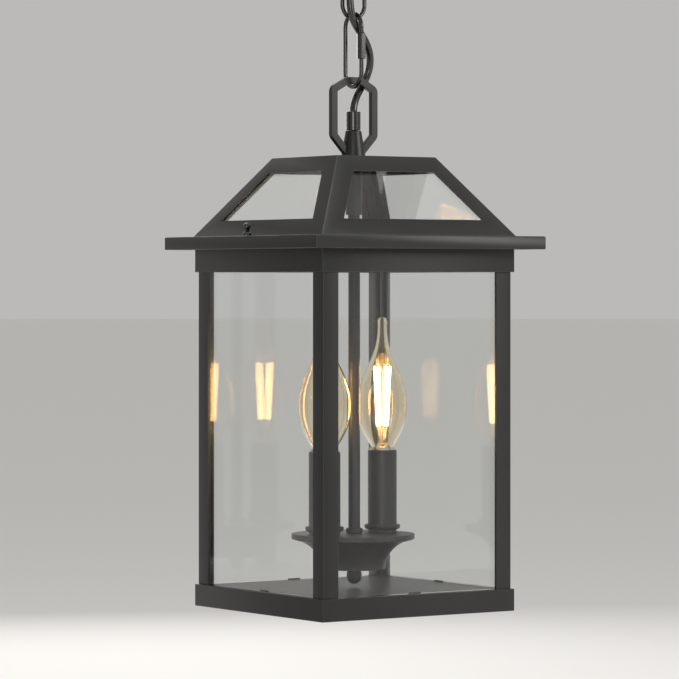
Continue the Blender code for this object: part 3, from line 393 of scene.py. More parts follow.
def threadedTube(name, node, bore):
    low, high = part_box(node)
    radius, pitch, depth = (high.x - low.x) / 2, ceilingValues["threadPitch"], ceilingValues["threadDepth"]
    turns = int((high.z - low.z) / pitch)
    outside = []
    for i in range(turns):
        z = low.z + (high.z - low.z) * i / turns
        outside += [(radius - depth, z), (radius, z + pitch / 2)]
    outside.append((radius - depth, high.z))
    profile = outside + [(bore, high.z), (bore, low.z), outside[0]]
    tube = turned(name, profile, steps=40)
    smoothed(tube, 70)
    return tube


def makeCeiling():
    values = ceilingValues
    body, slot = "ceiling_mount", "zinc_steel"
    strap = refinedPart("ceiling_strap", "ceilingStrap", values["strapEdge"], body, slot)
    coupling = refinedPart("strap_coupling", "strapCoupling", values["couplingEdge"], body, slot)
    nipple = threadedTube("ceilingNipple", "ceiling_nipple", values["tubeBore"])
    settled(nipple, body, slot, "ceiling_nipple")

    low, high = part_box("canopy")
    radius, wall, shoulder = high.x, values["canopyWall"], values["canopyShoulder"]
    bottom, turn, bore = low.z, (radius - shoulder, low.z + shoulder), values["canopyBore"]
    outer = [(radius, high.z)] + arc(turn, shoulder, 0, -90, 12)
    inner = [(bore, bottom + wall)] + arc(turn, shoulder - wall, -90, 0, 12) + [(radius - wall, high.z)]
    canopy = turned("canopyShell", outer + [(bore, bottom)] + inner + [outer[0]], steps=values["canopySteps"])
    softened(canopy, values["canopyEdge"], 2, 40)
    settled(canopy, body, "satin_black", "canopy")
    return {"zinc": [strap, coupling, nipple], "satin": [canopy]}


ceiling = makeCeiling()
print("ceiling fitting made")


# hub, octagon of flat bar and gland, the same at both ends of the chain

loopValues = {
    "bar": 0.006, "thick": 0.0048, "barEdge": 0.0005, "upperEdge": 0.0012, "flat": 0.0151, "shoulder": 0.0087,
    "foot": 0.017, "footHalf": 0.0045, "footTurn": 43, "bendRadius": 0.0038, "hubRadius": 0.0102,
    "hubTip": 0.0066, "hubHeight": 0.0222, "hubRim": 0.0014, "hubRimShrink": 0.995,
    "hubEdge": 0.0005, "socketRadius": 0.0051, "socketDepth": 0.014, "bore": 0.0035, "glandEdge": 0.00045,
}


def makeLoop(name, node, up, plane, body):
    values = loopValues
    low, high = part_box(node)
    base = low.z if up > 0 else high.z
    height = high.z - low.z
    halfWide = max(high.x, high.y) - values["bar"] / 2
    inset, r = values["bar"] / 2, values["bendRadius"]
    # centreline corners, measured from the hub's base
    shoulderTurn = math.degrees(math.atan2(halfWide + inset - values["flat"] / 2, values["shoulder"]))
    crown = height - inset
    footZ = values["foot"] + inset * math.tan(math.radians(values["footTurn"]) / 2)
    shoulderZ = height - values["shoulder"] - inset * math.tan(math.radians(shoulderTurn) / 2)
    flatX = values["flat"] / 2 - inset * math.tan(math.radians(90 - shoulderTurn) / 2)
    slope = math.hypot(halfWide - flatX, crown - shoulderZ)

    def lost(turn):
        return r * math.tan(math.radians(turn) / 2)  # length that a bend takes from each straight beside it

    middle = (footZ + shoulderZ) / 2
    footSlope = (halfWide - values["footHalf"]) / math.sin(math.radians(values["footTurn"]))
    turnUp, turnFoot = shoulderTurn, values["footTurn"]
    moves = [
        ("straight", shoulderZ - middle - lost(turnUp)), ("bend", turnUp, r),
        ("straight", slope - lost(turnUp) - lost(90 - turnUp)), ("bend", 90 - turnUp, r),
        ("straight", 2 * flatX - 2 * lost(90 - turnUp)), ("bend", 90 - turnUp, r),
        ("straight", slope - lost(turnUp) - lost(90 - turnUp)), ("bend", turnUp, r),
        ("straight", shoulderZ - footZ - lost(turnUp) - lost(turnFoot)), ("bend", turnFoot, r),
        ("straight", footSlope - lost(turnFoot) - lost(90 - turnFoot)), ("bend", 90 - turnFoot, r),
        ("straight", 2 * values["footHalf"] - 2 * lost(90 - turnFoot)), ("bend", 90 - turnFoot, r),
        ("straight", footSlope - lost(turnFoot) - lost(90 - turnFoot)), ("bend", turnFoot, r),
        ("straight", middle - footZ - lost(turnFoot)),
    ]
    section = {"kind": "bar", "width": values["bar"], "thick": values["thick"]}
    loop = bent(name, section, (halfWide, base + middle), moves, plane, 8, True)
    # the upper loop is rounder, for the chain link that swings on it
    softened(loop, values["barEdge" if up > 0 else "upperEdge"], 3, 60)
    if up < 0:
        # the ceiling's loop is the same bar turned over about its own base
        editAll(loop)
        bpy.ops.transform.mirror(constraint_axis=(False, False, True), center_override=(0, 0, base))
        bpy.ops.mesh.normals_make_consistent(inside=False)
        bpy.ops.object.mode_set(mode="OBJECT")
    tip = base + up * values["hubHeight"]
    cone = [(0, base), (values["hubRadius"], base),
            (values["hubRadius"] * values["hubRimShrink"], base + up * values["hubRim"]),
            (values["hubTip"], tip), (0, tip)]
    hub = turned("hub", cone, steps=72)
    softened(hub, values["hubEdge"], 3, 40)
    cut(loop, hub, "UNION")
    ends = sorted((base - up * overrun, base + up * values["socketDepth"]))
    drilled(loop, values["socketRadius"], *ends)
    ends = sorted((base, tip + up * overrun))
    drilled(loop, values["bore"], *ends)
    smoothed(loop, 30)
    settled(loop, body, "gloss_black", node)
    return loop


def makeGland(name, node, body):
    values = loopValues
    low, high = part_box(node)
    radius, bore = (high.x - low.x) / 2, values["bore"]
    gland = turned(name, tubeOutline(radius, bore, low.z, high.z), steps=72)
    softened(gland, values["glandEdge"], 3, 40)
    settled(gland, body, "gloss_black", node)
    return gland


hangers = [
    makeLoop("ceilingLoop", "canopy_loop", -1, "YZ", "ceiling_mount"),
    makeLoop("hangerLoop", "hanger_loop", 1, "XZ", "lantern"),
    makeGland("ceilingGland", "canopy_gland", "ceiling_mount"),
    makeGland("cordGland", "cord_gland", "lantern"),
]
print("loops and glands made")


# chain link, quick link and its nut

chainValues = {
    "wire": 0.0036, "sides": 28, "threadPitch": 0.0007, "threadOut": 1.10, "threadRings": 12,
    "threadRound": 0.42, "nutEdge": 0.00055, "nutBore": 0.00205, "gate": 0.008, "gateBelowNutTop": 0.002,
    "weldSwell": 1.07, "weldSeam": 0.0007,
}


def makeChainLink():
    values = chainValues
    low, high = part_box("chain_link")
    r = (high.x - low.x - values["wire"]) / 2
    straight = high.z - low.z - values["wire"] - 2 * r
    middle = (high.z + low.z) / 2
    section = {"kind": "wire", "radius": values["wire"] / 2, "sides": values["sides"]}
    seam = values["weldSeam"]
    side = straight / 2 - seam
    moves = [("straight", straight / 2), ("bend", 180, r), ("straight", side), ("straight", seam),
             ("straight", seam), ("straight", side), ("bend", 180, r), ("straight", straight / 2)]
    link = bent("chainLink", section, (r, middle), moves, "XZ", 5, True)
    # the butt weld half way down one side stands a little proud
    editAll(link)
    bpy.ops.mesh.select_all(action="DESELECT")
    bpy.ops.object.mode_set(mode="OBJECT")
    for v in link.data.vertices:
        v.select = v.co.x < 0 and abs(v.co.z - middle) < 1e-5
    bpy.ops.object.mode_set(mode="EDIT")
    bpy.ops.transform.resize(value=(values["weldSwell"], values["weldSwell"], 1),
                             center_override=(-r, 0, middle))
    bpy.ops.object.mode_set(mode="OBJECT")
    smoothed(link, 60)
    settled(link, "chain_link", "gloss_black", "chain_link")
    return link


def makeQuickLink():
    values = chainValues
    low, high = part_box("quick_link")
    r = (high.y - low.y - values["wire"]) / 2
    top, bottom = high.z - values["wire"] / 2 - r, low.z + values["wire"] / 2 + r
    nutLow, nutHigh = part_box("quick_link_nut")
    gateTop = nutHigh.z - values["gateBelowNutTop"]
    gateBottom = gateTop - values["gate"]
    pitch = values["threadPitch"]
    section = {"kind": "wire", "radius": values["wire"] / 2, "sides": values["sides"]}
    rings = values["threadRings"]
    run = rings * pitch
    moves = [("straight", run), ("straight", top - gateTop - run), ("bend", -180, r),
             ("straight", top - bottom), ("bend", -180, r), ("straight", gateBottom - bottom - run),
             ("straight", run)]
    link = bent("quickLink", section, (-r, gateTop), moves, "YZ", 5)
    smoothed(link, 60)
    # rolled threads on both ends of the gate, covered by the nut when it is shut
    threads = []
    for i in range(rings):
        for start, way in ((gateTop, 1), (gateBottom, -1)):
            threads.append(start + way * (i + 0.5) * pitch)
    ridge, bead = values["wire"] / 2 * values["threadOut"], pitch * values["threadRound"]
    for place in threads:
        clearSelection()
        bpy.ops.mesh.primitive_torus_add(location=(0, -r, place), major_segments=28, minor_segments=8,
                                         major_radius=ridge - bead, minor_radius=bead)
        ring = named("ring")
        ring.select_set(True)
        link.select_set(True)
        bpy.context.view_layer.objects.active = link
        bpy.ops.object.join()
    smoothed(link, 60)
    settled(link, "quick_link", "gloss_black", "quick_link")

    clearSelection()
    middle = (nutLow.z + nutHigh.z) / 2
    flats = nutHigh.y - nutLow.y
    corner = flats / 2 / math.cos(math.pi / 6)
    bpy.ops.mesh.primitive_cylinder_add(vertices=6, radius=corner, depth=nutHigh.z - nutLow.z,
                                        location=(0, -r, middle), rotation=(0, 0, math.pi / 2))
    nut = named("quickLinkNut")
    drilled(nut, values["nutBore"], nutLow.z - overrun, nutHigh.z + overrun, (0, -r))
    softened(nut, values["nutEdge"], 3, 40)
    settled(nut, "quick_link_nut", "gloss_black", "quick_link_nut")
    return link, nut


chainPieces = [makeChainLink(), *makeQuickLink()]
print("chain made")


# roof, eave and cage: sheet metal with rounded edges, glass panes with ground edges

sheetValues = {"roofEdge": 0.00045, "eaveEdge": 0.00045, "cageEdge": 0.00045, "postEdge": 0.0005,
               "paneEdge": 0.00035, "floorEdge": 0.0003, "clipEdge": 0.00018, "nutEdge": 0.0003}


def makeSheetMetal():
    values = sheetValues
    satin, zinc, glass = [], [], []
    for node, name, edge in (("roof_frame", "roofFrame", "roofEdge"), ("eave_tray", "eaveTray", "eaveEdge")):
        satin.append(refinedPart(node, name, values[edge], "lantern", "satin_black", 3))
    for node, name in (("collar_frame", "collarFrame"), ("base_frame", "baseFrame")):
        satin.append(refinedPart(node, name, values["cageEdge"], "cage", "satin_black", 3))
    for corner in ("front_left", "front_right", "back_right", "back_left"):
        satin.append(refinedPart(f"post_{corner}", f"cornerPost_{corner}", values["postEdge"], "cage",
                                 "satin_black", 3))
    gloss = [refinedPart("floor_plate", "floorPlate", values["floorEdge"], "cage", "satin_black")]
    for face in faces:
        for node, name, body in (("pane", "cagePane", "cage"), ("roof_pane", "roofPane", "lantern")):
            glass.append(refinedPart(f"{node}_{face}", f"{name}_{face}", values["paneEdge"], body,
                                     "clear_glass"))
        zinc.append(refinedPart(f"pane_clip_{face}", f"paneClip_{face}", values["clipEdge"], "cage",
                                "zinc_steel"))
    for side in sides:
        zinc.append(refinedPart(f"weld_nut_{side}", f"weldNut_{side}", values["nutEdge"], "cage",
                                "zinc_steel"))
    return {"satin": satin, "gloss": gloss, "zinc": zinc, "glass": glass}


sheetMetal = makeSheetMetal()
print("roof, eave and cage made")


# ball-headed thumb screws on the eave

screwValues = {
    "shank": 0.0019, "flange": 0.0037, "flangeRim": 0.0015, "flangeHeight": 0.0024, "flangeIn": 0.0007,
    "neckHeight": 0.0031, "ball": 0.0031, "threadPitch": 0.0007, "threadDepth": 0.00025,
}


def makeThumbScrew(side):
    values = screwValues
    node = f"thumb_screw_{side}"
    low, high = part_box(node)
    x = (low.x + high.x) / 2
    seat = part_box("eave_tray")[1].z + gap
    ballMiddle = high.z - values["ball"]
    shank, pitch = values["shank"], values["threadPitch"]
    turns = int((seat - low.z) / pitch)
    profile = [(0, low.z)]
    for i in range(turns):
        z = low.z + (seat - low.z) * i / turns
        profile += [(shank - values["threadDepth"], z), (shank, z + pitch / 2)]
    flange = values["flange"]
    profile += [(shank - values["threadDepth"], seat), (flange, seat), (flange, seat + values["flangeRim"]),
                (flange - values["flangeIn"], seat + values["flangeHeight"]),
                (shank, seat + values["neckHeight"])]
    profile += arc((0, ballMiddle), values["ball"], -40, 90, 14)[:-1] + [(0, high.z)]
    screw = turned(node.replace("_", "") + "Piece", profile, (x, 0), 48)
    smoothed(screw, 50)
    screw.name = f"thumbScrew_{side}"
    settled(screw, node, "gloss_black", node)
    return screw


thumbScrews = [makeThumbScrew(side) for side in sides]
print("thumb screws made")


# stem, dish, cups and sleeves

clusterValues = {
    "rim": 0.0043, "wall": 0.0012, "foot": 0.0261, "waistIn": 0.0040, "step": 0.0012, "bore": 0.00515,
    "curve": 1.55, "curvePoints": 18, "edge": 0.0004, "coverEdge": 0.0002, "knobRound": 0.0062,
    "knobBoreDepth": 0.0058, "cupEdge": 0.00025, "cupRound": 0.0022, "cupFoot": 0.0024, "sleeveWall": 0.0011,
    "tubeBore": 0.0036, "couplingEdge": 0.0005, "nutEdge": 0.0009, "headNutEdge": 0.0004,
    "exitDrop": 0.013, "exitSize": (0.02, 0.004, 0.008),
}


def plainTube(name, node, bore, body, slot, edge=0.0003, steps=56):
    low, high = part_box(node)
    x, y = (low.x + high.x) / 2, (low.y + high.y) / 2
    radius = (high.x - low.x) / 2
    tube = turned(name, tubeOutline(radius, bore, low.z, high.z), (x, y), steps)
    softened(tube, edge, 2, 40)
    settled(tube, body, slot, node)
    return tube


def makeDish():
    values = clusterValues
    low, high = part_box("cluster_dish")
    rimRadius, top, foot = high.x, high.z, low.z
    under = top - values["rim"]
    waist = rimRadius - values["waistIn"]
    drop = under - values["step"] - foot
    count = values["curvePoints"]
    footRadius, wall = values["foot"], values["wall"]

    def ogee(t):
        return (footRadius + (waist - footRadius) * (1 - math.sin(t * math.pi / 2)),
                under - values["step"] - drop * t ** values["curve"])

    outside = [(rimRadius, top), (rimRadius, under), (waist, under - values["step"])]
    outside += [ogee(i / count) for i in range(1, count + 1)]
    seat = top - wall - gap
    inside = [(rimRadius - wall, top), (rimRadius - wall, seat), (waist - 2 * wall, seat)]
    inside += [(r - 1.5 * wall, z + 0.3 * wall) for r, z in (ogee(i / count) for i in range(2, count - 1))]
    inside += [(footRadius - 1.5 * wall, foot + wall), (values["bore"], foot + wall)]
    profile = outside + [(values["bore"], foot)] + inside[::-1] + [outside[0]]
    dish = turned("clusterDish", profile, steps=128)
    softened(dish, values["edge"], 2, 40, 30)
    settled(dish, "lantern", "satin_black", "cluster_dish")

    low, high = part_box("dish_cover")
    cover = turned("dishCover", tubeOutline(high.x, values["bore"], low.z, high.z), steps=128)
    cupLow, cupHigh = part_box("candle_cup_right")
    for side in sides.values():
        centre = (side * (cupLow.x + cupHigh.x) / 2, 0)
        drilled(cover, values["bore"], low.z - overrun, high.z + overrun, centre)
    softened(cover, values["coverEdge"], 2, 40)
    settled(cover, "lantern", "satin_black", "dish_cover")

    low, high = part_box("dish_finial")
    r, bore, boreEnd = high.x, values["bore"], high.z - values["knobBoreDepth"]
    knob = [(0, low.z)] + arc((0, low.z + values["knobRound"]), values["knobRound"], -82, -8, 12)
    knob += [(r, high.z - 0.0034), (r * 0.90, high.z - 0.0020), (r * 0.90, high.z - 0.0014),
             (r, high.z - 0.0008), (r * 0.96, high.z), (bore, high.z), (bore, boreEnd), (0, boreEnd)]
    finial = turned("dishFinial", knob, steps=64)
    smoothed(finial, 32)
    settled(finial, "lantern", "satin_black", "dish_finial")
    return [dish, cover, finial]


def makeCandle(side):
    values = clusterValues
    node = f"candle_cup_{side}"
    low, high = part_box(node)
    sleeveLow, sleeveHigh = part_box(f"candle_sleeve_{side}")
    x = (low.x + high.x) / 2
    radius, sleeve, bore = (high.x - low.x) / 2, (sleeveHigh.x - sleeveLow.x) / 2, values["bore"]
    waist, bend = low.z + values["cupFoot"], values["cupRound"]
    profile = [(bore, low.z), (sleeve, low.z), (sleeve * 0.985, low.z + 0.0008),
               (sleeve * 0.985, waist - 0.0006), (sleeve, waist)]
    profile += arc((radius - bend, waist + bend), bend, -70, 0, 6)
    profile += [(radius, high.z - 0.0005), (radius - 0.0004, high.z), (sleeve + 0.0004, high.z),
                (sleeve + gap, sleeveLow.z - gap), (bore, sleeveLow.z - gap), (bore, low.z)]
    cup = turned(f"candleCup_{side}", profile, (x, 0), 80)
    softened(cup, values["cupEdge"], 2, 45)
    settled(cup, "lantern", "satin_black", node)
    tube = plainTube(f"candleSleeve_{side}", f"candle_sleeve_{side}", sleeve - values["sleeveWall"],
                     "lantern", "satin_black", steps=80)
    return [cup, tube]


def makeStem():
    values = clusterValues
    pieces = [
        plainTube("stemTube", "stem_tube", values["tubeBore"], "lantern", "satin_black"),
        plainTube("stemCoupling", "stem_coupling", values["bore"], "lantern", "satin_black",
                  values["couplingEdge"]),
        plainTube("stemNut", "stem_nut", values["bore"], "lantern", "satin_black", values["nutEdge"]),
    ]
    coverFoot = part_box("dish_cover")[0].z
    clearSelection()
    bpy.ops.mesh.primitive_cube_add(size=1, location=(0, 0, coverFoot - values["exitDrop"]),
                                    scale=values["exitSize"])
    cut(pieces[0], named("wireExit"))
    smoothed(pieces[0], 40)
    nipple = threadedTube("headNipple", "head_nipple", ceilingValues["tubeBore"])
    settled(nipple, "lantern", "zinc_steel", "head_nipple")
    nut = refinedPart("head_nut", "headNut", values["headNutEdge"], "lantern", "zinc_steel")
    return pieces, [nipple, nut]


dishPieces = makeDish()
candlePieces = [piece for side in sides for piece in makeCandle(side)]
stemPieces, headZinc = makeStem()
print("stem, dish and candles made")


# flame lamps: envelope, inner stem, light rods with their wires, and the cap

lampValues = {
    "wall": 0.0007, "neck": 0.0095, "neckHeight": 0.0012,
    # (share of the widest radius or radius in metres, distance below the tip)
    "tip": [(0.0000, 0.0000), (0.0022, 0.0003), (0.0036, 0.0020), (0.0041, 0.0045), (0.0038, 0.0085),
            (0.0039, 0.0125), (0.0044, 0.0175), (0.0056, 0.0245), (0.0085, 0.0335), (0.0125, 0.0415)],
    "belly": [(0.76, 0.0490), (0.91, 0.0585), (0.985, 0.0670), (1.0, 0.0745), (0.975, 0.0825),
              (0.89, 0.0905), (0.73, 0.0985), (0.56, 0.1045)],
    "rods": 6, "rodRadius": 0.0010, "rodLength": 0.048, "rodFoot": 0.0185, "rodSpread": 0.0058,
    "rodLean": 0.0016, "rodFlare": 0.4, "stemBelowRods": 0.002,
    "wireRadius": 0.00022, "leadDrop": 0.0030, "leadSpread": 0.0006, "crossRise": 0.0022, "peakRise": 0.0034,
    "thread": 0.0058, "skirt": 0.0085, "threadPitch": 0.0021, "threadDepth": 0.0004, "threadStart": 0.003,
}


def rodBetween(name, start, end, radius, sideCount=16):
    start, end = Vector(start), Vector(end)
    clearSelection()
    bpy.ops.mesh.primitive_uv_sphere_add(segments=sideCount, ring_count=10, radius=radius)
    rod = named(name)
    editAll(rod)
    bpy.ops.mesh.select_all(action="DESELECT")
    bpy.ops.object.mode_set(mode="OBJECT")
    for v in rod.data.vertices:
        v.select = v.co.z > radius * 0.05
    bpy.ops.object.mode_set(mode="EDIT")
    bpy.ops.transform.translate(value=(0, 0, (end - start).length))
    bpy.ops.object.mode_set(mode="OBJECT")
    rod.rotation_euler = (end - start).to_track_quat("Z", "Y").to_euler()
    rod.location = start
    pickOnly(rod)
    bpy.ops.object.transform_apply(location=True, rotation=True, scale=True)
    return rod


def joined(name, pieces):
    clearSelection()
    for piece in pieces:
        piece.select_set(True)
    bpy.context.view_layer.objects.active = pieces[0]
    bpy.ops.object.join()
    pieces[0].name = name
    pieces[0].data.name = name
    return pieces[0]


def makeLamp(side):
    values = lampValues
    body = f"bulb_{side}"
    low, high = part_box(f"bulb_glass_{side}")
    x, tip, foot, wide = (low.x + high.x) / 2, high.z, low.z, (high.x - low.x) / 2
    neck = values["neck"]
    profile = [(r, tip - z) for r, z in values["tip"]]
    profile += [(wide * r, tip - z) for r, z in values["belly"]]
    profile += [(neck, foot + values["neckHeight"]), (neck, foot)]
    envelope = turned(f"lampGlass_{side}", profile, (x, 0), 36)
    applied(envelope, "SUBSURF", levels=2, render_levels=2)
    applied(envelope, "SOLIDIFY", thickness=values["wall"], offset=-1)
    smoothed(envelope, 60)
    settled(envelope, body, "bulb_glass", f"bulb_glass_{side}")

    # glass foot inside, flared at the cap and pinched flat where the wires go through
    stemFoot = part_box(f"bulb_stem_{side}")[0].z
    stemTop = foot + values["rodFoot"] - values["stemBelowRods"]
    flare = [(0, stemTop), (0.0012, stemTop - 0.0003), (0.0019, stemTop - 0.0016), (0.0020, foot + 0.0090),
             (0.0028, foot + 0.0055), (0.0048, foot + 0.0022), (0.0070, stemFoot), (0, stemFoot)]
    stem = turned(f"lampStem_{side}", flare, (x, 0), 40)
    smoothed(stem, 50)
    settled(stem, body, "bulb_glass", f"bulb_stem_{side}")

    # light rods stand in a ring, fed from a wire cross above and two leads below
    rods, wires = [], []
    rodLow, rodHigh = foot + values["rodFoot"], foot + values["rodFoot"] + values["rodLength"]
    wire, spread, lean = values["wireRadius"], values["rodSpread"], values["rodLean"]
    leadFoot, crossTop = rodLow - values["leadDrop"], rodHigh + values["crossRise"]
    peak = (x, 0, rodHigh + values["peakRise"])
    inner, outer, leadIn = spread - lean, spread + lean * values["rodFlare"], values["leadSpread"]
    for i in range(values["rods"]):
        turn = math.tau * (i + 0.5) / values["rods"]
        c, s = math.cos(turn), math.sin(turn)
        start, end = (x + inner * c, inner * s, rodLow), (x + outer * c, outer * s, rodHigh)
        rods.append(rodBetween("rod", start, end, values["rodRadius"]))
        knee, shoulder = (start[0], start[1], leadFoot), (end[0], end[1], crossTop)
        pinch = (x + leadIn * c, leadIn * s, stemTop - values["leadDrop"])
        for first, last in ((start, knee), (knee, pinch), (end, shoulder), (shoulder, peak)):
            wires.append(rodBetween("wire", first, last, wire, 8))
    wires.append(rodBetween("wire", (x, 0, stemTop - values["stemBelowRods"]), peak, wire * 1.2, 8))
    rods = joined(f"lampRods_{side}", rods)
    wires = joined(f"lampWires_{side}", wires)
    for piece in (rods, wires):
        smoothed(piece, 60)
        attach(piece, body)

    # cap: a rolled screw shell with a skirt and a bright collar round the neck of the glass
    low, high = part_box(f"bulb_base_{side}")
    thread, skirt, collar = values["thread"], values["skirt"], (high.x - low.x) / 2
    pitch, threadStart = values["threadPitch"], values["threadStart"]
    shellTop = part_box(f"lamp_socket_{side}")[1].z + gap
    profile = [(0, low.z), (0.0024, low.z), (0.0030, low.z + 0.0008), (thread * 0.72, low.z + 0.0024)]
    turns = int((shellTop - low.z - threadStart) / pitch)
    for i in range(turns):
        z = low.z + threadStart + (shellTop - low.z - threadStart) * i / turns
        profile += [(thread - values["threadDepth"], z), (thread, z + pitch * 0.5)]
    profile += [(thread, shellTop), (skirt * 0.93, shellTop + 0.0022), (skirt, shellTop + 0.0040),
                (skirt, high.z - 0.0021), (collar * 0.985, high.z - 0.0021), (collar, high.z - 0.0017),
                (collar, high.z - 0.0012), (collar * 0.965, high.z - 0.0010),
                (collar * 0.965, high.z - 0.0007), (collar, high.z - 0.0005), (collar * 0.985, high.z),
                (0, high.z)]
    cap = turned(f"lampCap_{side}", profile, (x, 0), 64)
    smoothed(cap, 45)
    settled(cap, body, "lamp_cap", f"bulb_base_{side}")
    return {"glass": [envelope, stem], "rods": rods, "wires": wires, "cap": cap}


lamps = [makeLamp(side) for side in sides]
print("lamps made")


# shared shader effects, as node groups with named inputs and outputs

def addNode(tree, kind, values=None, **settings):
    node = tree.nodes.new("ShaderNode" + kind)
    for setting, value in settings.items():
        setattr(node, setting, value)
    for socket, value in (values or {}).items():
        node.inputs[socket].default_value = value
    return node


def newGroup(name, inputs, outputs):
    tree = bpy.data.node_groups.new(name, "ShaderNodeTree")
    for label, value in inputs.items():
        socket = tree.interface.new_socket(name=label, in_out="INPUT", socket_type="NodeSocketFloat")
        socket.default_value = value
    for label in outputs:
        tree.interface.new_socket(name=label, in_out="OUTPUT", socket_type="NodeSocketFloat")
    return tree, tree.nodes.new("NodeGroupInput"), tree.nodes.new("NodeGroupOutput")


def mathNode(tree, operation, first, second, clamp=False):
    node = addNode(tree, "Math", operation=operation, use_clamp=clamp)
    for socket, value in zip(node.inputs, (first, second)):
        if isinstance(value, (int, float)):
            socket.default_value = value
        else:
            tree.links.new(value, socket)
    return node.outputs[0]


def grainGroup():
    tree, given, out = newGroup("surfaceGrain", {"Grain Scale": 900.0, "Blotch Scale": 22.0},
                                ("Grain", "Blotch"))
    place = addNode(tree, "TexCoord")
    fine = addNode(tree, "TexNoise", {"Detail": 3.0, "Roughness": 0.55})
    wide = addNode(tree, "TexNoise", {"Detail": 5.0, "Roughness": 0.62})
    for texture, scale, label in ((fine, "Grain Scale", "Grain"), (wide, "Blotch Scale", "Blotch")):
        tree.links.new(place.outputs["Object"], texture.inputs["Vector"])
        tree.links.new(given.outputs[scale], texture.inputs["Scale"])
        tree.links.new(texture.outputs["Fac"], out.inputs[label])
    return tree


def wearAndHighlightGroup():
    # how far the surface turns within a small radius, broken up by a noise so that it is uneven: lighter
    # edges that are partly wear and partly a painted highlight on rounded edges
    tree, given, out = newGroup("rubbedEdgeAndPaintedHighlight", {"Radius": 0.0006, "Amount": 1.0}, ("EdgeWearAndHighlight",))
    rounded = addNode(tree, "Bevel", samples=4)
    real = addNode(tree, "NewGeometry")
    facing = addNode(tree, "VectorMath", operation="DOT_PRODUCT")
    place = addNode(tree, "TexCoord")
    patchy = addNode(tree, "TexNoise", {"Scale": 60.0, "Detail": 4.0})
    tree.links.new(given.outputs["Radius"], rounded.inputs["Radius"])
    tree.links.new(rounded.outputs["Normal"], facing.inputs[0])
    tree.links.new(real.outputs["Normal"], facing.inputs[1])
    tree.links.new(place.outputs["Object"], patchy.inputs["Vector"])
    bend = mathNode(tree, "SUBTRACT", 1.0, facing.outputs["Value"])
    strong = mathNode(tree, "MULTIPLY", bend, 6.0)
    broken = mathNode(tree, "MULTIPLY", strong, patchy.outputs["Fac"])
    tree.links.new(mathNode(tree, "MULTIPLY", broken, given.outputs["Amount"], True), out.inputs["EdgeWearAndHighlight"])
    return tree


def dustGroup():
    # a thin film on faces that look up
    tree, given, out = newGroup("settledDust", {"Amount": 0.3}, ("Dust",))
    real = addNode(tree, "NewGeometry")
    split = addNode(tree, "SeparateXYZ")
    place = addNode(tree, "TexCoord")
    cloud = addNode(tree, "TexNoise", {"Scale": 45.0, "Detail": 6.0, "Roughness": 0.7})
    tree.links.new(real.outputs["Normal"], split.inputs[0])
    tree.links.new(place.outputs["Object"], cloud.inputs["Vector"])
    level = mathNode(tree, "SUBTRACT", split.outputs["Z"], 0.35)
    lifted = mathNode(tree, "MULTIPLY", level, 1.5, True)
    cloudy = mathNode(tree, "MULTIPLY", lifted, cloud.outputs["Fac"])
    tree.links.new(mathNode(tree, "MULTIPLY", cloudy, given.outputs["Amount"], True), out.inputs["Dust"])
    return tree


groups = {"grain": grainGroup(), "edge": wearAndHighlightGroup(), "dust": dustGroup()}


def useGroup(tree, name, values):
    node = tree.nodes.new("ShaderNodeGroup")
    node.node_tree = groups[name]
    for socket, value in values.items():
        node.inputs[socket].default_value = value
    return node


def newMaterial(name, fixed):
    made = bpy.data.materials.new(name)
    made.use_nodes = True
    tree = made.node_tree
    shader = tree.nodes["Principled BSDF"]
    for socket, value in fixed.items():
        shader.inputs[socket].default_value = value
    return made, tree, shader


def mixColour(tree, factor, first, second):
    node = tree.nodes.new("ShaderNodeMix")
    node.data_type = "RGBA"
    for socket, value in ((node.inputs["Factor"], factor), (node.inputs[6], first), (node.inputs[7], second)):
        if isinstance(value, tuple):
            socket.default_value = (*value, 1.0)
        elif isinstance(value, float):
            socket.default_value = value
        else:
            tree.links.new(value, socket)
    return node.outputs[2]


def ranged(tree, source, low, high):
    node = addNode(tree, "MapRange", {"To Min": low, "To Max": high})
    tree.links.new(source, node.inputs["Value"])
    return node.outputs["Result"]


dustValues = {"colour": (0.32, 0.30, 0.27), "roughens": 0.35}


def coatMaterial(name, look):
    # paint, enamel, plastic or plating: grain in colour, roughness and relief, then lighter edges that are
    # partly wear and partly a painted highlight, then dust
    made, tree, shader = newMaterial(name, look["fixed"])
    grain = useGroup(tree, "grain", {"Grain Scale": look["grain"], "Blotch Scale": look["blotch"]})
    edge = useGroup(tree, "edge", {"Radius": look["edgeRadius"], "Amount": look["edge"]})
    dust = useGroup(tree, "dust", {"Amount": look["dust"]})
    colour = mixColour(tree, grain.outputs["Blotch"], look["dark"], look["light"])
    # edges lightened towards a lighter colour: partly edge wear, partly a painted highlight
    colour = mixColour(tree, edge.outputs["EdgeWearAndHighlight"], colour, look["wearAndHighlight"])
    colour = mixColour(tree, dust.outputs["Dust"], colour, dustValues["colour"])
    tree.links.new(colour, shader.inputs["Base Color"])
    smooth, rough = look["roughness"]
    base = ranged(tree, grain.outputs["Blotch"], smooth, rough)
    dusty = mathNode(tree, "MULTIPLY", dust.outputs["Dust"], dustValues["roughens"])
    tree.links.new(mathNode(tree, "ADD", base, dusty, True), shader.inputs["Roughness"])
    bump = addNode(tree, "Bump", {"Strength": look["relief"], "Distance": look["depth"]})
    tree.links.new(grain.outputs["Grain"], bump.inputs["Height"])
    tree.links.new(bump.outputs["Normal"], shader.inputs["Normal"])
    return made
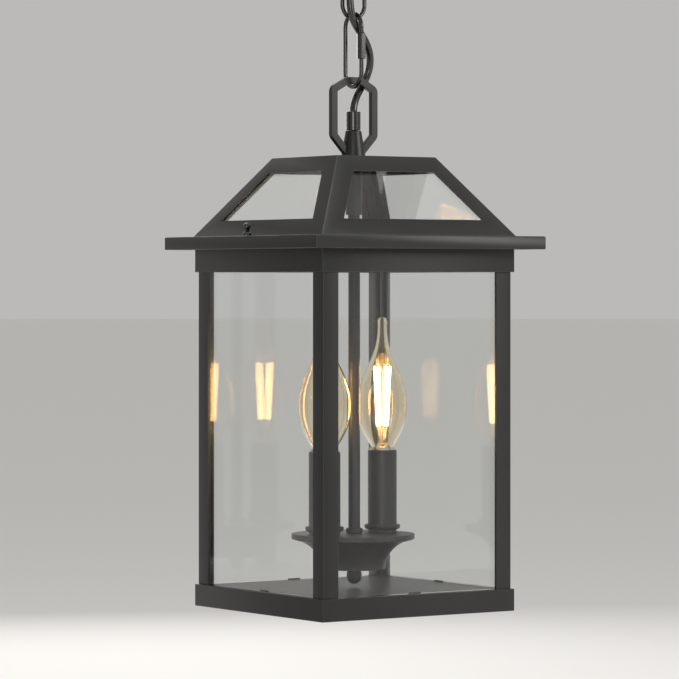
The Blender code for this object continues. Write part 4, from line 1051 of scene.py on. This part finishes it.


# each look's lighter edge colour is partly wear and partly a painted highlight
coatLooks = {
    "satinPowderCoat": {
        "dark": (0.0095, 0.0092, 0.0092), "light": (0.0150, 0.0146, 0.0146), "wearAndHighlight": (0.085, 0.082, 0.078),
        "roughness": (0.34, 0.42), "grain": 1100.0, "blotch": 26.0, "relief": 0.3, "depth": 0.00002,
        "edgeRadius": 0.0009, "edge": 1.0, "dust": 0.07,
        "fixed": {"Metallic": 0.0, "Specular IOR Level": 0.4},
    },
    "glossEnamel": {
        "dark": (0.005, 0.005, 0.0052), "light": (0.009, 0.009, 0.0095), "wearAndHighlight": (0.05, 0.05, 0.05),
        "roughness": (0.15, 0.22), "grain": 500.0, "blotch": 60.0, "relief": 0.2, "depth": 0.000015,
        "edgeRadius": 0.0005, "edge": 0.5, "dust": 0.03,
        "fixed": {"Metallic": 0.0, "Specular IOR Level": 0.6, "Coat Weight": 0.4, "Coat Roughness": 0.12},
    },
    "floorEnamel": {
        "dark": (0.010, 0.0092, 0.0085), "light": (0.016, 0.0145, 0.013), "wearAndHighlight": (0.07, 0.068, 0.065),
        "roughness": (0.30, 0.38), "grain": 1400.0, "blotch": 18.0, "relief": 0.15, "depth": 0.00001,
        "edgeRadius": 0.0005, "edge": 0.6, "dust": 0.05,
        "fixed": {"Metallic": 0.0, "Specular IOR Level": 0.18},
    },
    "zincPlate": {
        "dark": (0.42, 0.41, 0.38), "light": (0.62, 0.62, 0.60), "wearAndHighlight": (0.70, 0.69, 0.66),
        "roughness": (0.26, 0.44), "grain": 380.0, "blotch": 90.0, "relief": 0.3, "depth": 0.00004,
        "edgeRadius": 0.0004, "edge": 0.5, "dust": 0.12, "fixed": {"Metallic": 1.0},
    },
    "nickelCap": {
        "dark": (0.60, 0.55, 0.46), "light": (0.76, 0.72, 0.64), "wearAndHighlight": (0.85, 0.82, 0.76),
        "roughness": (0.18, 0.30), "grain": 420.0, "blotch": 120.0, "relief": 0.2, "depth": 0.00003,
        "edgeRadius": 0.0003, "edge": 0.4, "dust": 0.05, "fixed": {"Metallic": 1.0},
    },
    "phenolic": {
        "dark": (0.014, 0.013, 0.012), "light": (0.026, 0.024, 0.022), "wearAndHighlight": (0.06, 0.055, 0.05),
        "roughness": (0.38, 0.52), "grain": 650.0, "blotch": 70.0, "relief": 0.3, "depth": 0.00004,
        "edgeRadius": 0.0004, "edge": 0.5, "dust": 0.10, "fixed": {"Metallic": 0.0},
    },
    "cordJacket": {
        "dark": (0.0055, 0.0055, 0.006), "light": (0.010, 0.010, 0.011), "wearAndHighlight": (0.03, 0.03, 0.03),
        "roughness": (0.18, 0.26), "grain": 820.0, "blotch": 140.0, "relief": 0.2, "depth": 0.00002,
        "edgeRadius": 0.0004, "edge": 0.2, "dust": 0.02,
        "fixed": {"Metallic": 0.0, "Specular IOR Level": 0.6, "Coat Weight": 0.25, "Coat Roughness": 0.2},
    },
}
coats = {name: coatMaterial(name, look) for name, look in coatLooks.items()}


def glassMaterial(name, tint, smudge, relief):
    # clear glass with faint smears; lamps shine through it
    made, tree, shader = newMaterial(name, {"Base Color": (*tint, 1.0), "Metallic": 0.0, "IOR": 1.5,
                                            "Transmission Weight": 1.0})
    grain = useGroup(tree, "grain", {"Grain Scale": 240.0, "Blotch Scale": 12.0})
    tree.links.new(ranged(tree, grain.outputs["Blotch"], 0.0, smudge), shader.inputs["Roughness"])
    bump = addNode(tree, "Bump", {"Strength": relief, "Distance": 0.00002})
    tree.links.new(grain.outputs["Blotch"], bump.inputs["Height"])
    tree.links.new(bump.outputs["Normal"], shader.inputs["Normal"])
    path = addNode(tree, "LightPath")
    clear = addNode(tree, "BsdfTransparent", {"Color": (*tint, 1.0)})
    mix = addNode(tree, "MixShader")
    tree.links.new(path.outputs["Is Shadow Ray"], mix.inputs[0])
    tree.links.new(shader.outputs[0], mix.inputs[1])
    tree.links.new(clear.outputs[0], mix.inputs[2])
    tree.links.new(mix.outputs[0], tree.nodes["Material Output"].inputs["Surface"])
    return made


paneGlass = glassMaterial("paneGlass", (0.975, 0.985, 0.978), 0.03, 0.04)
lampGlass = glassMaterial("lampGlass", (1.0, 0.93, 0.79), 0.015, 0.05)


def rodMaterial():
    # phosphor over a row of chips: brighter spots along the rod
    made, tree, shader = newMaterial("phosphorRod", {"Roughness": 0.5, "Emission Strength": 26.0})
    place = addNode(tree, "TexCoord")
    chips = addNode(tree, "TexNoise", {"Scale": 700.0, "Detail": 1.0})
    tree.links.new(place.outputs["Object"], chips.inputs["Vector"])
    tree.links.new(mixColour(tree, chips.outputs["Fac"], (0.80, 0.55, 0.16), (0.95, 0.75, 0.30)),
                   shader.inputs["Base Color"])
    tree.links.new(mixColour(tree, chips.outputs["Fac"], (1.0, 0.52, 0.17), (1.0, 0.72, 0.36)),
                   shader.inputs["Emission Color"])
    return made


phosphor = rodMaterial()


def dress(pieces, material):
    for piece in pieces:
        piece.data.materials.clear()
        piece.data.materials.append(material)


loops, glands = hangers[:2], hangers[2:]
dress(sheetMetal["satin"] + ceiling["satin"] + dishPieces + candlePieces + stemPieces + loops,
      coats["satinPowderCoat"])
dress(glands + chainPieces + thumbScrews, coats["glossEnamel"])
dress(sheetMetal["gloss"], coats["floorEnamel"])
dress(sheetMetal["zinc"] + ceiling["zinc"] + headZinc, coats["zincPlate"])
dress(sheetMetal["glass"], paneGlass)
dress([piece for lamp in lamps for piece in lamp["glass"]], lampGlass)
dress([lamp["rods"] for lamp in lamps], phosphor)
dress([lamp["cap"] for lamp in lamps] + [lamp["wires"] for lamp in lamps], coats["nickelCap"])
dress(cords + [nodes["stem_cord"]], coats["cordJacket"])
dress([nodes[f"lamp_socket_{side}"] for side in sides], coats["phenolic"])
print("materials dressed")


# stage: a plain pale floor, a pale surround and soft lamps

stageValues = {
    "floorDrop": 0.30, "floorRadius": 60, "pale": (0.93, 0.92, 0.905), "sky": (0.80, 0.79, 0.77),
    "surround": 0.62,
    "lights": [
        # name, place, (width, height), power, colour
        ("frontSoftbox", (-2.45, -3.10, -0.15), (0.8, 2.2), 34, (1.0, 1.0, 1.0)),
        ("rightSoftbox", (2.00, -2.90, 0.80), (1.6, 1.3), 48, (1.0, 0.99, 0.97)),
        ("topSoftbox", (0.25, 0.35, 1.90), (1.6, 1.6), 24, (1.0, 1.0, 1.0)),
        ("backSoftbox", (1.30, 2.70, 0.50), (1.2, 1.6), 16, (1.0, 0.98, 0.95)),
    ],
}


def makeStage():
    values = stageValues
    clearSelection()
    bpy.ops.mesh.primitive_circle_add(vertices=96, radius=values["floorRadius"], fill_type="NGON",
                                      location=(0, 0, cadBox[0].z - values["floorDrop"]))
    floor = named("floor")
    paper = newMaterial("palePaper", {"Base Color": (*values["pale"], 1.0), "Roughness": 0.9,
                                      "Specular IOR Level": 0.1})[0]
    dress([floor], paper)
    world = bpy.data.worlds.new("surround")
    world.use_nodes = True
    sky = world.node_tree.nodes["Background"]
    sky.inputs["Color"].default_value = (*values["sky"], 1.0)
    sky.inputs["Strength"].default_value = values["surround"]
    bpy.context.scene.world = world
    target = Vector((0, 0, (cadBox[0].z + cadBox[1].z) / 2))
    for name, place, size, power, colour in values["lights"]:
        bpy.ops.object.light_add(type="AREA", location=place)
        lamp = bpy.context.object
        lamp.name = name
        lamp.data.shape = "RECTANGLE"
        lamp.data.size, lamp.data.size_y = size
        lamp.data.energy = power
        lamp.data.color = colour
        lamp.rotation_euler = (target - Vector(place)).to_track_quat("-Z", "Y").to_euler()
        lamp.visible_camera = False
        lamp.visible_transmission = False  # glass shows the plain surround, not the softboxes


makeStage()
bpy.context.scene.view_settings.view_transform = "Standard"
print("stage set")
